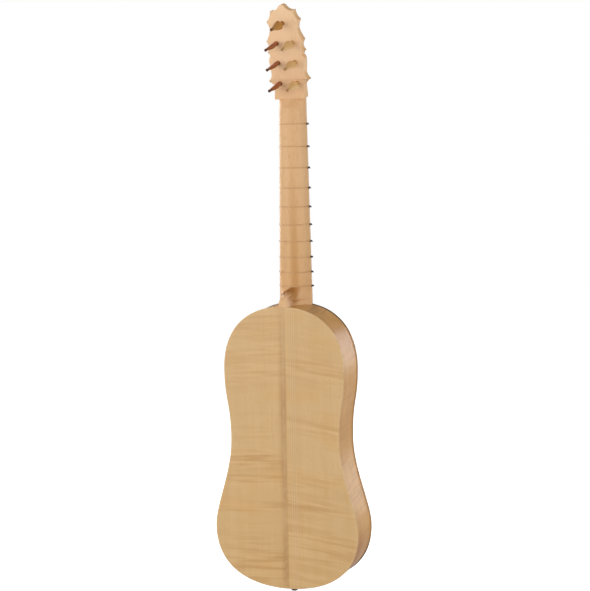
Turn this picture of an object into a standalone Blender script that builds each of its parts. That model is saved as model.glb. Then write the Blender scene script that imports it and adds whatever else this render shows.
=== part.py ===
"""Four-course renaissance guitar, built from its separate pieces of wood, gut and bone.

Lengths are in millimetres up to the last step, where each mesh is scaled to metres.
+Z runs up the neck, the soundboard faces -Y, the back faces +Y and the bass side is -X.
The origin is the centre of the end button's flat bottom.
"""

import math

import bmesh
import bpy
from mathutils import Vector

MM = 0.001
GAP = 0.3

# Whole instrument
SCALE_LENGTH = 540.0
BODY_LENGTH = 0.672 * SCALE_LENGTH
BODY_DEPTH = 57.0
BUTTON_LENGTH = 10.0

# Plan of the body, half widths
LOWER_HALF = 96.2
WAIST_HALF = 72.8
UPPER_HALF = 80.4

# Plates and ribs
BOARD = 1.8
BACK = 2.0
RIB = 1.8
BOARD_OVERHANG = 1.2
BINDING_WIDTH = 2.2
LINING_WIDTH = 5.0
LINING_DEPTH = 5.0
HOLE_RADIUS = 31.0
TAIL_STRIP_HALF = 6.0

# Neck and head
JOINT_HALF = 22.0
NUT_HALF = 17.9
FINGERBOARD = 3.0
NECK_THICK_JOINT = 19.0
NECK_THICK_NUT = 15.0
NECK_DIP = 4.3
HEEL_COVE = 10.5
HEEL_TONGUE = 10.5
TONGUE_HALF = 5.4
NUT_LENGTH = 4.5
HEAD_TILT = math.radians(15.1)
HEAD_THICK = 11.5
VENEER = 0.9
HEAD_LENGTH = 118.6
HEAD_HALF = 26.9

# Pegs
PEG_BACK_RADIUS = 2.9
PEG_FRONT_RADIUS = 2.4
PEG_POST = 11.0
PEG_GRIP = 43.0
PEG_CLEARANCE = 0.06

# Strings, frets and bridge
FRETS = 10
FRET_RADIUS = 0.45
KNOT_RADIUS = 1.5
BRIDGE_HALF = 52.0
BRIDGE_WIDTH = 12.0
BRIDGE_HEIGHT = 6.4
TIE_HEIGHT = 4.0
STRING_SIDES = 6
STATIONS = 52

# Heights above the tail, and the planes that the pieces share
BRIDGE_Z = 0.2273 * BODY_LENGTH
NUT_Z = BRIDGE_Z + SCALE_LENGTH
HOLE_Z = 0.68 * BODY_LENGTH
TAIL = BUTTON_LENGTH
FRONT = -BODY_DEPTH / 2
REAR = BODY_DEPTH / 2
BOARD_IN = FRONT + BOARD + GAP
BACK_IN = REAR - BACK - GAP
NECK_FRONT = FRONT + FINGERBOARD + GAP
RIB_IN = RIB + GAP
LINING_IN = RIB_IN + LINING_WIDTH
HEAD_FRONT = FRONT - 0.5
HEAD_BASE = NUT_Z + NUT_LENGTH + GAP

BLOND = (0.83, 0.66, 0.47)
MAPLE = (0.80, 0.63, 0.42)
SPRUCE = (0.86, 0.70, 0.47)
RIBWOOD = (0.74, 0.56, 0.38)
DARK = (0.10, 0.07, 0.05)
PEGWOOD = (0.34, 0.17, 0.08)
BONE = (0.88, 0.83, 0.70)
GUT = (0.80, 0.66, 0.42)


def material(name, color, roughness):
    made = bpy.data.materials.new(name)
    made.use_nodes = True
    shader = made.node_tree.nodes["Principled BSDF"]
    shader.inputs["Base Color"].default_value = (*color, 1.0)
    shader.inputs["Roughness"].default_value = roughness
    return made


def solid(name, verts, faces, color, roughness=0.45, smooth=0, origin=(0.0, 0.0, 0.0)):
    """One closed mesh object. Its first faces, as many as smooth says, are shaded smooth."""
    base = Vector(origin)
    mesh = bpy.data.meshes.new(name)
    mesh.from_pydata([(Vector(v) - base) * MM for v in verts], [], faces)
    for polygon in mesh.polygons[:smooth]:
        polygon.use_smooth = True
    work = bmesh.new()
    work.from_mesh(mesh)
    bmesh.ops.recalc_face_normals(work, faces=work.faces)
    if work.calc_volume(signed=True) < 0:
        bmesh.ops.reverse_faces(work, faces=work.faces)
    work.to_mesh(mesh)
    work.free()
    made = bpy.data.objects.new(name, mesh)
    made.location = base * MM
    bpy.context.scene.collection.objects.link(made)
    mesh.materials.append(material(name, color, roughness))
    return made


def loft(name, rings, color, roughness=0.45, closed=False, smooth=False, origin=(0.0, 0.0, 0.0)):
    """Skin over rings of equal length, with end caps unless the rings close on themselves."""
    n = len(rings[0])
    verts = [v for ring in rings for v in ring]
    faces = []
    count = len(rings)
    for a in range(count if closed else count - 1):
        b = (a + 1) % count
        for i in range(n):
            j = (i + 1) % n
            faces.append((a * n + i, a * n + j, b * n + j, b * n + i))
    sides = len(faces)
    if not closed:
        faces.append(tuple(range(n)))
        faces.append(tuple(range((count - 1) * n, count * n)))
    return solid(name, verts, faces, color, roughness, sides if smooth else 0, origin)


def prism(name, plan_points, y0, y1, color, roughness=0.45):
    """A flat piece: an (x, z) outline between two planes of constant y."""
    rings = [[(x, y, z) for x, z in plan_points] for y in (y0, y1)]
    return loft(name, rings, color, roughness)


def cut(target, cutter):
    cutter.hide_render = True
    cutter.display_type = "WIRE"
    modifier = target.modifiers.new("holes", "BOOLEAN")
    modifier.operation = "DIFFERENCE"
    modifier.solver = "EXACT"
    modifier.object = cutter


# Plan of the body: four curves from the tail up the treble side to the neck.
def curve_spans():
    unit = BODY_LENGTH / 363.0
    lower = (LOWER_HALF, 77.0 * unit)
    waist = (WAIST_HALF, 192.0 * unit)
    upper = (UPPER_HALF, 282.0 * unit)
    top = (0.0, BODY_LENGTH)
    return [
        ((0.0, 0.0), (0.42 * LOWER_HALF, 0.0), (lower[0], lower[1] - 62.8 * unit), lower),
        (lower, (lower[0], lower[1] + 27.9 * unit), (waist[0], waist[1] - 43.4 * unit), waist),
        (waist, (waist[0], waist[1] + 48.1 * unit), (upper[0], upper[1] - 42.9 * unit), upper),
        (upper, (upper[0], upper[1] + 50.9 * unit), (0.625 * UPPER_HALF, top[1]), top),
    ]


SPANS = curve_spans()


def plan(t, inset=0.0):
    """The (x, z) point at t of 0 to 4 along the treble side, moved inwards by inset."""
    i = min(int(t), 3)
    u = t - i
    v = 1.0 - u
    p = SPANS[i]
    where = [0.0, 0.0]
    slope = [0.0, 0.0]
    for k in (0, 1):
        a, b, c, d = (q[k] for q in p)
        where[k] = v ** 3 * a + 3 * v * v * u * b + 3 * v * u * u * c + u ** 3 * d
        slope[k] = 3 * v * v * (b - a) + 6 * v * u * (c - b) + 3 * u * u * (d - c)
    size = math.hypot(slope[0], slope[1])
    return (where[0] - inset * slope[1] / size, where[1] + inset * slope[0] / size)


def solve(value, axis, inset, low, high):
    """The t between low and high where the inset curve's x (axis 0) or z (axis 1) is value."""
    rising = plan(high, inset)[axis] > plan(low, inset)[axis]
    for _ in range(50):
        middle = (low + high) / 2
        if (plan(middle, inset)[axis] < value) == rising:
            low = middle
        else:
            high = middle
    return (low + high) / 2


def steps(start, end, count):
    return [start + (end - start) * i / count for i in range(count + 1)]


def grid(start, end):
    """The plan's own stations between start and end, which every bent piece shares."""
    inner = [4.0 * i / STATIONS for i in range(STATIONS + 1)]
    return [start] + [t for t in inner if start + 0.02 < t < end - 0.02] + [end]


def width_at(z, inset):
    return plan(solve(z, 1, inset, 0.0, 4.0), inset)[0]


def shoulder(x, inset=0.0):
    """Height of the body's top edge at x, for the pieces that end against it."""
    if abs(x) < 1e-6:
        return plan(4.0, inset)[1]
    return plan(solve(abs(x), 0, inset, 3.3, 4.0), inset)[1]


def both(name, points, y0, y1, color, roughness=0.45):
    """The treble piece and its mirror image on the bass side."""
    prism(name + "_treble", [(x, z + TAIL) for x, z in points], y0, y1, color, roughness)
    prism(name + "_bass", [(-x, z + TAIL) for x, z in points], y0, y1, color, roughness)


def plate_points(inset):
    points = [plan(t, inset) for t in grid(0.0, 4.0)]
    points[0] = (GAP / 2, points[0][1])
    points[-1] = (GAP / 2, points[-1][1])
    return points


def swept(name, inset0, inset1, y0, y1, start, end, color):
    """A strip bent along the plan, as a treble piece and a bass piece."""
    for side, word in ((1, "treble"), (-1, "bass")):
        rings = []
        for t in grid(start, end):
            ax, az = plan(t, inset0)
            bx, bz = plan(t, inset1)
            ax, bx = max(ax, GAP / 2), max(bx, GAP / 2)
            az, bz = az + TAIL, bz + TAIL
            rings.append([(side * ax, y0, az), (side * bx, y0, bz), (side * bx, y1, bz), (side * ax, y1, az)])
        loft(f"{name}_{word}", rings, color)


def make_plates():
    both("back", plate_points(0.0), REAR - BACK, REAR, MAPLE, 0.32)
    edge = BINDING_WIDTH - BOARD_OVERHANG + GAP
    points = plate_points(edge)
    reach = math.sqrt(HOLE_RADIUS ** 2 - (GAP / 2) ** 2)
    tilt = math.asin(reach / HOLE_RADIUS)
    for angle in steps(tilt, -tilt, 24):
        points.append((HOLE_RADIUS * math.cos(angle), HOLE_Z + HOLE_RADIUS * math.sin(angle)))
    both("soundboard", points, FRONT, FRONT + BOARD, SPRUCE, 0.4)
    start = solve(GAP / 2, 0, -BOARD_OVERHANG, 0.0, 0.5)
    end = solve(GAP / 2, 0, -BOARD_OVERHANG, 3.5, 4.0)
    inner = BINDING_WIDTH - BOARD_OVERHANG
    swept("edge_binding", -BOARD_OVERHANG, inner, FRONT, FRONT + BOARD, start, end, DARK)


def make_ribs():
    start = solve(TAIL_STRIP_HALF + GAP, 0, RIB, 0.0, 0.6)
    end = solve(GAP / 2, 0, 0.0, 3.5, 4.0)
    swept("rib", 0.0, RIB, BOARD_IN, BACK_IN, start, end, RIBWOOD)
    first = solve(block_half() + GAP, 0, LINING_IN, 0.0, 0.9)
    last = solve(block_half() + GAP, 0, LINING_IN, 3.1, 4.0)
    front = BOARD_IN + LINING_DEPTH
    rear = BACK_IN - LINING_DEPTH
    swept("front_lining", RIB_IN, LINING_IN, BOARD_IN, front, first, last, BLOND)
    swept("back_lining", RIB_IN, LINING_IN, rear, BACK_IN, first, last, BLOND)


def block_half():
    return JOINT_HALF + 2.0


def block_arc(low, high, inset):
    """Points of the inset plan from the bass edge of a block to its treble edge."""
    reach = solve(block_half(), 0, inset, low, high)
    centre = low if low == 0.0 else high
    stations = grid(min(centre, reach), max(centre, reach))
    if centre > reach:
        stations.reverse()
    treble = [plan(t, inset) for t in stations]
    treble[0] = (0.0, treble[0][1])
    return [(-x, z) for x, z in reversed(treble)] + treble[1:]


def make_blocks():
    tail = [(x, z + TAIL) for x, z in block_arc(0.0, 1.0, RIB_IN)]
    top = [(x, z + TAIL) for x, z in block_arc(3.0, 4.0, RIB_IN)]
    half = block_half()
    prism("tail_block", tail + [(half, TAIL + 16.0), (-half, TAIL + 16.0)], BOARD_IN, BACK_IN, BLOND)
    low = TAIL + BODY_LENGTH - 30.0
    prism("neck_block", top + [(half, low), (-half, low)], BOARD_IN, BACK_IN, BLOND)
    edge = solve(TAIL_STRIP_HALF, 0, 0.0, 0.0, 0.6)
    outer = [plan(t) for t in grid(0.0, edge)]
    outer[0] = (0.0, outer[0][1])
    arc = [(-x, z) for x, z in reversed(outer)] + outer[1:]
    strip = [(x, z + TAIL) for x, z in arc] + [(x, z + TAIL + RIB) for x, z in reversed(arc)]
    prism("tail_strip", strip, BOARD_IN, BACK_IN, DARK)


def bar(name, z, height, y0, direction, notch):
    """A brace across a plate, with lowered ends, and a slot over the seam strip if notch is set."""
    half = min(width_at(z - 2.5, LINING_IN + GAP), width_at(z + 2.5, LINING_IN + GAP))
    tall = y0 + direction * height
    ends = y0 + direction * 3.0
    outline = [(-half, y0)]
    if notch:
        slot = y0 + direction * (2.0 + GAP)
        inner = 6.0 + GAP
        outline += [(-inner, y0), (-inner, slot), (inner, slot), (inner, y0)]
    outline += [(half, y0), (half, ends), (half - 20.0, tall), (20.0 - half, tall), (-half, ends)]
    rings = [[(x, y, z + TAIL + dz) for x, y in outline] for dz in (-2.5, 2.5)]
    loft(name, rings, BLOND)


def make_braces():
    bar("belly_bar_lower", HOLE_Z - HOLE_RADIUS - 14.0, 10.0, BOARD_IN, 1, False)
    bar("belly_bar_upper", HOLE_Z + HOLE_RADIUS + 14.0, 10.0, BOARD_IN, 1, False)
    for word, share in (("lower", 0.2), ("middle", 0.5), ("upper", 0.79)):
        bar(f"back_bar_{word}", share * BODY_LENGTH, 9.0, BACK_IN, -1, True)
    low = TAIL + 16.0 + GAP
    high = TAIL + BODY_LENGTH - 30.0 - GAP
    outline = [(-6.0, low), (6.0, low), (6.0, high), (-6.0, high)]
    prism("back_seam_strip", outline, BACK_IN - 2.0, BACK_IN, BLOND)


def make_rose():
    """A pierced disc: rings of wood joined by spokes."""
    around = 36
    outer = HOLE_RADIUS - GAP
    radii = [share * outer for share in (0.12, 0.32, 0.39, 0.62, 0.70, 0.92, 1.0)]
    opened = {0: (3, 0), 2: (3, 1), 4: (3, 0)}

    def filled(band, j):
        if band not in opened:
            return True
        every, offset = opened[band]
        return (j + offset) % every == 0

    verts = []
    index = {}
    centre = HOLE_Z + TAIL
    for side, y in ((0, FRONT + 0.2), (1, FRONT + BOARD)):
        for k, radius in enumerate(radii):
            for j in range(around):
                angle = 2 * math.pi * (j + 0.5) / around
                index[side, k, j] = len(verts)
                verts.append((radius * math.sin(angle), y, centre + radius * math.cos(angle)))
    faces = [tuple(index[side, 0, j] for j in range(around)) for side in (0, 1)]
    last = len(radii) - 2
    for k in range(last + 1):
        for j in range(around):
            after = (j + 1) % around
            if not filled(k, j):
                if k > 0:
                    faces.append((index[0, k, j], index[0, k, after], index[1, k, after], index[1, k, j]))
                else:
                    faces.append((index[0, 0, j], index[0, 0, after], index[1, 0, after], index[1, 0, j]))
                if k < last:
                    up = k + 1
                    faces.append((index[0, up, j], index[0, up, after], index[1, up, after], index[1, up, j]))
                continue
            for side in (0, 1):
                ring = [(k, j), (k, after), (k + 1, after), (k + 1, j)]
                faces.append(tuple(index[side, a, b] for a, b in ring))
            if not filled(k, after):
                rim = [(0, k, after), (0, k + 1, after), (1, k + 1, after), (1, k, after)]
                faces.append(tuple(index[corner] for corner in rim))
            if not filled(k, j - 1):
                faces.append((index[0, k, j], index[0, k + 1, j], index[1, k + 1, j], index[1, k, j]))
            if k == last:
                up = k + 1
                faces.append((index[0, up, j], index[0, up, after], index[1, up, after], index[1, up, j]))
    solid("rose", verts, faces, BLOND, 0.5)


def neck_half(z):
    share = (z - BODY_LENGTH) / (NUT_Z - BODY_LENGTH)
    return JOINT_HALF + (NUT_HALF - JOINT_HALF) * share


def neck_thick(z):
    share = (z - BODY_LENGTH) / (NUT_Z - BODY_LENGTH)
    return NECK_THICK_JOINT + (NECK_THICK_NUT - NECK_THICK_JOINT) * share


def neck_section(z, depth, heel, tip):
    """One side of the neck's section, front to ridge, as (x, y) with y from the neck's front."""
    half = neck_half(z)
    points = []
    for i in range(11):
        u = math.sin(math.radians(9.0 * i))
        rounded = (1.0 - 0.3 * u) * math.sqrt(max(0.0, 1.0 - u ** 4))
        hollow = (1.0 - u) ** 2.1
        points.append((tip + (half - tip) * (rounded + (hollow - rounded) * heel), u * depth))
    return points


def neck_layer(z):
    """Height, depth, share of the heel's hollow shape and half width of the ridge."""
    thick = neck_thick(z)
    start = BODY_LENGTH + HEEL_TONGUE + HEEL_COVE
    if z >= start:
        fading = max(0.0, 1.0 - (z - start) / 15.0)
        return (z, thick, 0.12 * fading ** 2, 1.0)
    full = REAR - NECK_FRONT
    turn = math.asin(min(1.0, (start - z) / HEEL_COVE))
    share = 1.0 - math.cos(turn)
    tip = 1.0 + (TONGUE_HALF - 2.2) * min(1.0, 2.0 * share)
    return (z, thick + (full - thick) * share, min(1.0, 0.12 + 1.15 * share), tip)


def arch_points(inset):
    """The top of the inset plan, from the bass side across to the treble side."""
    treble = [plan(t, inset) for t in reversed(grid(3.5, 4.0))]
    treble[0] = (0.0, treble[0][1])
    return [(-x, z) for x, z in reversed(treble)] + treble[1:]


def make_neck():
    full = REAR - NECK_FRONT
    start = BODY_LENGTH + HEEL_TONGUE + HEEL_COVE
    layers = [(BODY_LENGTH - 12.0, full, 1.0, TONGUE_HALF)]
    for share in (0.0, 0.35, 0.7, 0.97):
        tip = TONGUE_HALF - 1.2 * share
        layers.append((BODY_LENGTH + HEEL_TONGUE * share, full, 1.0, tip))
    for angle in (90, 76, 62, 48, 34, 18, 8):
        layers.append(neck_layer(start - HEEL_COVE * math.sin(math.radians(angle))))
    for ahead in (0.0, 4.0, 9.0, 15.0):
        layers.append(neck_layer(start + ahead))
    for z in steps(start + 40.0, NUT_Z - 8.0, 4):
        layers.append(neck_layer(z))
    layers.append((HEAD_BASE, neck_thick(NUT_Z) - NECK_DIP, 0.0, 1.0))
    rings = []
    for level, (z, depth, heel, tip) in enumerate(layers):
        half = neck_section(z, depth, heel, tip)
        ring = []
        for x, y in half + [(-x, y) for x, y in reversed(half)]:
            height = z
            if level == len(layers) - 1:
                height = z - GAP - (y + NECK_FRONT - HEAD_FRONT) * math.tan(HEAD_TILT)
            ring.append((x, y + NECK_FRONT, height + TAIL))
        rings.append(ring)
    neck = loft("neck", rings, BLOND, 0.35, smooth=True)
    arch = [(x, z + TAIL) for x, z in arch_points(-GAP)]
    low = TAIL + BODY_LENGTH - 40.0
    body = arch + [(arch[-1][0], low), (arch[0][0], low)]
    cut(neck, prism("body_cutter", body, FRONT - 5.0, REAR + 5.0, DARK))


def make_fingerboard():
    across = steps(-1.0, 1.0, 8)
    rings = []
    for y in (FRONT, FRONT + FINGERBOARD):
        low = [(x * JOINT_HALF, shoulder(x * JOINT_HALF, -BOARD_OVERHANG) + GAP) for x in across]
        high = [(x * neck_half(NUT_Z), NUT_Z - GAP) for x in reversed(across)]
        rings.append([(x, y, z + TAIL) for x, z in low + high])
    loft("fingerboard", rings, BLOND, 0.4)


def head_point(p, s, h):
    """A point p across the head, s up it and h in front of its front face."""
    c, d = math.cos(HEAD_TILT), math.sin(HEAD_TILT)
    return (p, HEAD_FRONT + s * d - h * c, TAIL + HEAD_BASE + s * c + h * d)


def arc(a, b, bulge, count):
    """Points from a up to but not including b, on an arc that bulges by that much to the right."""
    ax, ay = a
    bx, by = b
    if abs(bulge) < 1e-6:
        return [a]
    chord = math.hypot(bx - ax, by - ay)
    nx, ny = (by - ay) / chord, (ax - bx) / chord
    points = []
    for i in range(count):
        t = i / count
        rise = 4 * t * (1 - t) * bulge
        points.append((ax + (bx - ax) * t + nx * rise, ay + (by - ay) * t + ny * rise))
    return points


def head_outline():
    """The scalloped edge: cusps with hollows between them, from the base up to the round top."""
    w = HEAD_HALF / 26.9
    k = HEAD_LENGTH / 118.6
    corners = [
        (20.2, 0.0, 0.0), (20.0, 16.6, -0.7), (26.9, 22.9, -1.3), (22.0, 33.0, 0.3),
        (23.6, 48.5, 0.8), (21.0, 54.6, -0.5), (24.3, 59.7, -0.7), (21.3, 66.2, -0.5),
        (24.3, 73.6, -0.9), (18.0, 88.4, -0.7), (21.4, 98.4, -1.6), (15.4, 111.0, -2.2),
        (3.6, 117.0, 0.0),
    ]
    right = []
    for (x, y, bulge), (x2, y2, _) in zip(corners, corners[1:]):
        right += arc((x * w, y * k), (x2 * w, y2 * k), bulge, 4)
    crown = arc((3.6 * w, 117.0 * k), (-3.6 * w, 117.0 * k), 1.6, 6)
    left = [(-x, y) for x, y in reversed(right)]
    return right + crown + [(-3.6 * w, 117.0 * k)] + left


def ring_of(centre, radius_a, radius_b, turn, height, sides):
    points = []
    for i in range(sides):
        angle = 2 * math.pi * i / sides
        a, b = radius_a * math.cos(angle), radius_b * math.sin(angle)
        x = a * math.cos(turn) - b * math.sin(turn)
        y = a * math.sin(turn) + b * math.cos(turn)
        points.append(head_point(centre[0] + x, centre[1] + y, height))
    return points


def peg_places():
    """Centre of each peg on the head and the turn of its grip."""
    k = HEAD_LENGTH / 118.6
    pairs = ((19.7, 11.8, 128, 50), (46.1, 11.6, 141, 38), (70.8, 10.7, 133, 47))
    places = [((0.4, 95.6 * k), 62)]
    for s, p, treble, bass in pairs:
        places.append(((p, s * k), treble))
        places.append(((-p, s * k), bass))
    return places


def peg_radius(h):
    return PEG_FRONT_RADIUS - (PEG_BACK_RADIUS - PEG_FRONT_RADIUS) * h / HEAD_THICK


def make_head():
    """The head plate and the thin dark facing on its front, both bored for the pegs."""
    layers = (("head_plate", -VENEER - GAP, -HEAD_THICK, BLOND), ("head_facing", 0.0, -VENEER, DARK))
    for name, front, back, color in layers:
        rings = [[head_point(x, y, h) for x, y in head_outline()] for h in (front, back)]
        bore_for_pegs(loft(name, rings, color, 0.35))


def bore_for_pegs(head):
    verts = []
    faces = []
    sides = 16
    for centre, _ in peg_places():
        base = len(verts)
        for h in (3.0, -HEAD_THICK - 3.0):
            radius = (peg_radius(h) + PEG_CLEARANCE) / math.cos(math.pi / sides)
            verts += ring_of(centre, radius, radius, 0.0, h, sides)
        for i in range(sides):
            j = (i + 1) % sides
            faces.append((base + i, base + j, base + sides + j, base + sides + i))
        faces.append(tuple(range(base, base + sides)))
        faces.append(tuple(range(base + sides, base + 2 * sides)))
    cut(head, solid("peg_cutter", verts, faces, DARK))


def make_pegs():
    back = -HEAD_THICK
    grip = PEG_GRIP / 43.0
    for number, (centre, degrees) in enumerate(peg_places(), 1):
        turn = math.radians(degrees)
        end = peg_radius(PEG_POST) - 0.1
        rings = [(PEG_POST, end - 0.2, end - 0.2), (PEG_POST - 0.6, end, end)]
        for h in (1.0, back):
            rings.append((h, peg_radius(h), peg_radius(h)))
        rings.append((back - GAP, peg_radius(back) - 0.05, peg_radius(back) - 0.05))
        for ahead, wide, thin in (
            (0.4, 3.2, 3.2), (2.0, 3.3, 3.3), (2.7, 2.5, 2.5), (5.5, 2.1, 2.1), (8.0, 3.0, 2.3),
            (11.5, 5.1, 2.9), (16.0, 5.7, 3.0), (23.0, 4.6, 2.6), (31.0, 3.0, 2.0),
            (38.0, 1.7, 1.5), (42.0, 1.2, 1.2), (43.0, 0.6, 0.6),
        ):
            rings.append((back - GAP - ahead * grip + GAP * (ahead > 42.5), wide, thin))
        shapes = [ring_of(centre, a, b, turn, h, 16) for h, a, b in rings]
        loft(f"peg_{number}", shapes, PEGWOOD, 0.3, smooth=True, origin=head_point(*centre, 0.0))


# Strings: treble to bass, as (x at the bridge, x at the nut, radius, peg number).
def string_table():
    span = NUT_HALF / 16.9
    return [
        (24.6, 11.4 * span, 0.32, 2),
        (10.2, 5.0 * span, 0.36, 4),
        (6.0, 2.6 * span, 0.36, 6),
        (-6.0, -2.6 * span, 0.42, 1),
        (-10.2, -5.0 * span, 0.42, 7),
        (-22.4, -10.2 * span, 0.48, 5),
        (-26.8, -12.6 * span, 0.48, 3),
    ]


NUT_STRING = FRONT - 1.7
BRIDGE_BASE = FRONT - GAP


def tube(name, path, radii, color, roughness=0.4, closed=False, origin=(0.0, 0.0, 0.0), sides=STRING_SIDES):
    """A round cord through the path's points, turned so that it never twists on itself."""
    points = [Vector(p) for p in path]
    count = len(points)
    rings = []
    normal = None
    for i, point in enumerate(points):
        before = points[i - 1] if (closed or i > 0) else point
        after = points[(i + 1) % count] if (closed or i < count - 1) else point
        along = (after - before).normalized()
        if normal is None:
            guess = Vector((0.0, 0.0, 1.0)) if closed else Vector((1.0, 0.0, 0.0))
            normal = (guess - along * guess.dot(along)).normalized()
        normal = (normal - along * normal.dot(along)).normalized()
        across = along.cross(normal)
        ring = []
        for j in range(sides):
            angle = 2 * math.pi * j / sides
            ring.append(point + radii[i] * (math.cos(angle) * normal + math.sin(angle) * across))
        rings.append(ring)
    return loft(name, rings, color, roughness, closed=closed, smooth=True, origin=origin)


def string_path(bridge_x, nut_x, radius, peg):
    centre, _ = peg_places()[peg - 1]
    tie_y = BRIDGE_BASE - TIE_HEIGHT
    over = BRIDGE_BASE - BRIDGE_HEIGHT - GAP - radius
    front = TAIL + BRIDGE_Z
    rear = front - BRIDGE_WIDTH
    lift = radius + GAP
    path = [
        (bridge_x, over, front - 3.0), (bridge_x, over, rear + 1.0),
        (bridge_x, over + 0.8, rear - 0.6 * lift), (bridge_x, (over + tie_y) / 2, rear - 1.2 * lift),
        (bridge_x, tie_y - 0.5, rear - 0.9 * lift), (bridge_x, tie_y, rear + 0.3),
        (bridge_x, tie_y, front + 0.5),
    ]
    path += [(nut_x, NUT_STRING, TAIL + NUT_Z - 0.6), (nut_x, NUT_STRING, TAIL + HEAD_BASE - 0.6)]
    height = 3.6
    wind = peg_radius(height) + GAP + radius
    side = -1 if centre[0] > 0.3 else 1
    if peg == 1:
        side = -1
    if peg == 5:
        below = peg_places()[2][0]
        path.append(head_point(below[0] + peg_radius(2.2) + GAP + radius + 0.1, below[1], 2.3))
    turns = 2.5
    count = int(turns * 9)
    for i in range(count + 1):
        swing = 2 * math.pi * turns * i / count
        angle = swing if side > 0 else math.pi - swing
        rise = height + (2 * radius + 0.25) * swing / (2 * math.pi)
        reach = peg_radius(rise) + GAP + radius + 0.05
        p = centre[0] + reach * math.cos(angle)
        path.append(head_point(p, centre[1] + reach * math.sin(angle), rise))
    return path


def make_strings():
    for number, (bridge_x, nut_x, radius, peg) in enumerate(string_table(), 1):
        path = string_path(bridge_x, nut_x, radius, peg)
        tube(f"string_{number}", path, [radius] * len(path), GUT)


def make_nut():
    top = NUT_STRING - 0.9
    low = NECK_FRONT - GAP
    outline = [(-NUT_HALF, low), (-NUT_HALF, FRONT - 0.6)]
    for _, x, radius, _ in reversed(string_table()):
        half = radius + 0.25
        floor = NUT_STRING + radius + 0.2
        crown = top + 0.012 * x * x - 0.3
        crown = min(crown, floor - 0.5)
        outline += [(x - half, crown), (x - half, floor), (x + half, floor), (x + half, crown)]
    outline += [(NUT_HALF, FRONT - 0.6), (NUT_HALF, low)]
    tilt = math.tan(HEAD_TILT)
    face = [(x, y, TAIL + NUT_Z) for x, y in outline]
    behind = [(x, y, TAIL + HEAD_BASE - GAP - (y - HEAD_FRONT) * tilt) for x, y in outline]
    loft("nut", [face, behind], BONE, 0.35)


def make_bridge():
    front = TAIL + BRIDGE_Z
    middle = front - BRIDGE_WIDTH / 2
    unit = BRIDGE_HALF / 52.0
    shape = [
        (31.0, 1.0, 1.0), (33.5, 0.55, 1.0), (36.0, 0.42, 0.92),
        (44.0, 0.36, 0.7), (50.0, 0.28, 0.5), (52.0, 0.2, 0.3),
    ]
    stations = [(-x * unit, h, w) for x, h, w in reversed(shape)] + [(x * unit, h, w) for x, h, w in shape]
    rings = []
    for x, tall, wide in stations:
        h = BRIDGE_HEIGHT * tall
        w = BRIDGE_WIDTH / 2 * wide
        edge = 0.18 * h
        profile = [(-w, 0.0), (w, 0.0), (w, h - edge), (w - edge, h), (edge - w, h), (-w, h - edge)]
        rings.append([(x, BRIDGE_BASE - up, middle + across) for across, up in profile])
    bridge = loft("bridge", rings, PEGWOOD, 0.4)
    verts = []
    faces = []
    sides = 8
    for x, _, radius, _ in string_table():
        base = len(verts)
        reach = radius + 0.35
        for z in (middle - BRIDGE_WIDTH, middle + BRIDGE_WIDTH):
            for i in range(sides):
                angle = 2 * math.pi * (i + 0.5) / sides
                up = BRIDGE_BASE - TIE_HEIGHT + reach * math.sin(angle)
                verts.append((x + reach * math.cos(angle), up, z))
        for i in range(sides):
            j = (i + 1) % sides
            faces.append((base + i, base + j, base + sides + j, base + sides + i))
        faces.append(tuple(range(base, base + sides)))
        faces.append(tuple(range(base + sides, base + 2 * sides)))
    cut(bridge, solid("tie_cutter", verts, faces, DARK))


def make_frets():
    for number in range(1, FRETS + 1):
        z = NUT_Z - SCALE_LENGTH * (1.0 - 2.0 ** (-number / 12.0))
        section = neck_section(*neck_layer(z))
        off = FRET_RADIUS + 0.25
        side = []
        for i in range(1, len(section)):
            ax, ay = section[i - 1]
            bx, by = section[min(i + 1, len(section) - 1)]
            size = math.hypot(bx - ax, by - ay)
            x, y = section[i]
            side.append((x + off * (by - ay) / size, NECK_FRONT + y + off * (ax - bx) / size))
        half = neck_half(z)
        treble = [(0.0, FRONT - off), (half, FRONT - off), (half + 0.8 * off, FRONT - 0.8 * off)]
        treble += [(half + off, FRONT), (half + off, NECK_FRONT + 0.5)]
        treble += side
        bass = [(-x, y) for x, y in reversed(treble[1:])]
        radii = [FRET_RADIUS] * len(treble + bass)
        knot = len(treble) + len(bass) - 3
        outline = treble + bass
        swell = ((knot - 1, 0.5, 0.4), (knot, 1.0, 1.0), (knot + 1, 0.6, 0.7))
        for i, share, push in swell:
            radii[i] = FRET_RADIUS + (KNOT_RADIUS - FRET_RADIUS) * share
            x, y = outline[i]
            outline[i] = (x - (KNOT_RADIUS - FRET_RADIUS) * push - 0.25 * share, y + 0.3 * share)
        path = [(x, y, z + TAIL) for x, y in outline]
        tube(f"fret_{number}", path, radii, GUT, 0.5, closed=True, origin=(0.0, FRONT, z + TAIL), sides=5)


def make_button():
    """A turned end button with a shank let into the tail block."""
    profile = [
        (TAIL + 14.0, 2.2), (TAIL - GAP, 2.8), (TAIL - GAP, 4.6), (TAIL - 1.2, 4.8), (TAIL - 2.2, 3.0),
        (TAIL - 3.6, 2.9), (TAIL - 4.8, 4.6), (TAIL - 6.4, 5.2), (TAIL - 8.4, 4.6), (0.0, 3.0),
    ]
    sides = 20
    turns = [2 * math.pi * i / sides for i in range(sides)]
    rings = [[(radius * math.cos(a), radius * math.sin(a), z) for a in turns] for z, radius in profile]
    loft("end_button", rings, DARK, 0.3, smooth=True)
    hole = [[], []]
    for k, (z, radius) in enumerate(((TAIL - 5.0, 3.3), (TAIL + 14.3, 2.6))):
        for i in range(sides):
            angle = 2 * math.pi * i / sides
            hole[k].append((radius * math.cos(angle), radius * math.sin(angle), z))
    cutter = loft("button_cutter", hole, DARK)
    cut(bpy.data.objects["tail_strip"], cutter)
    cut(bpy.data.objects["tail_block"], cutter)


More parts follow.
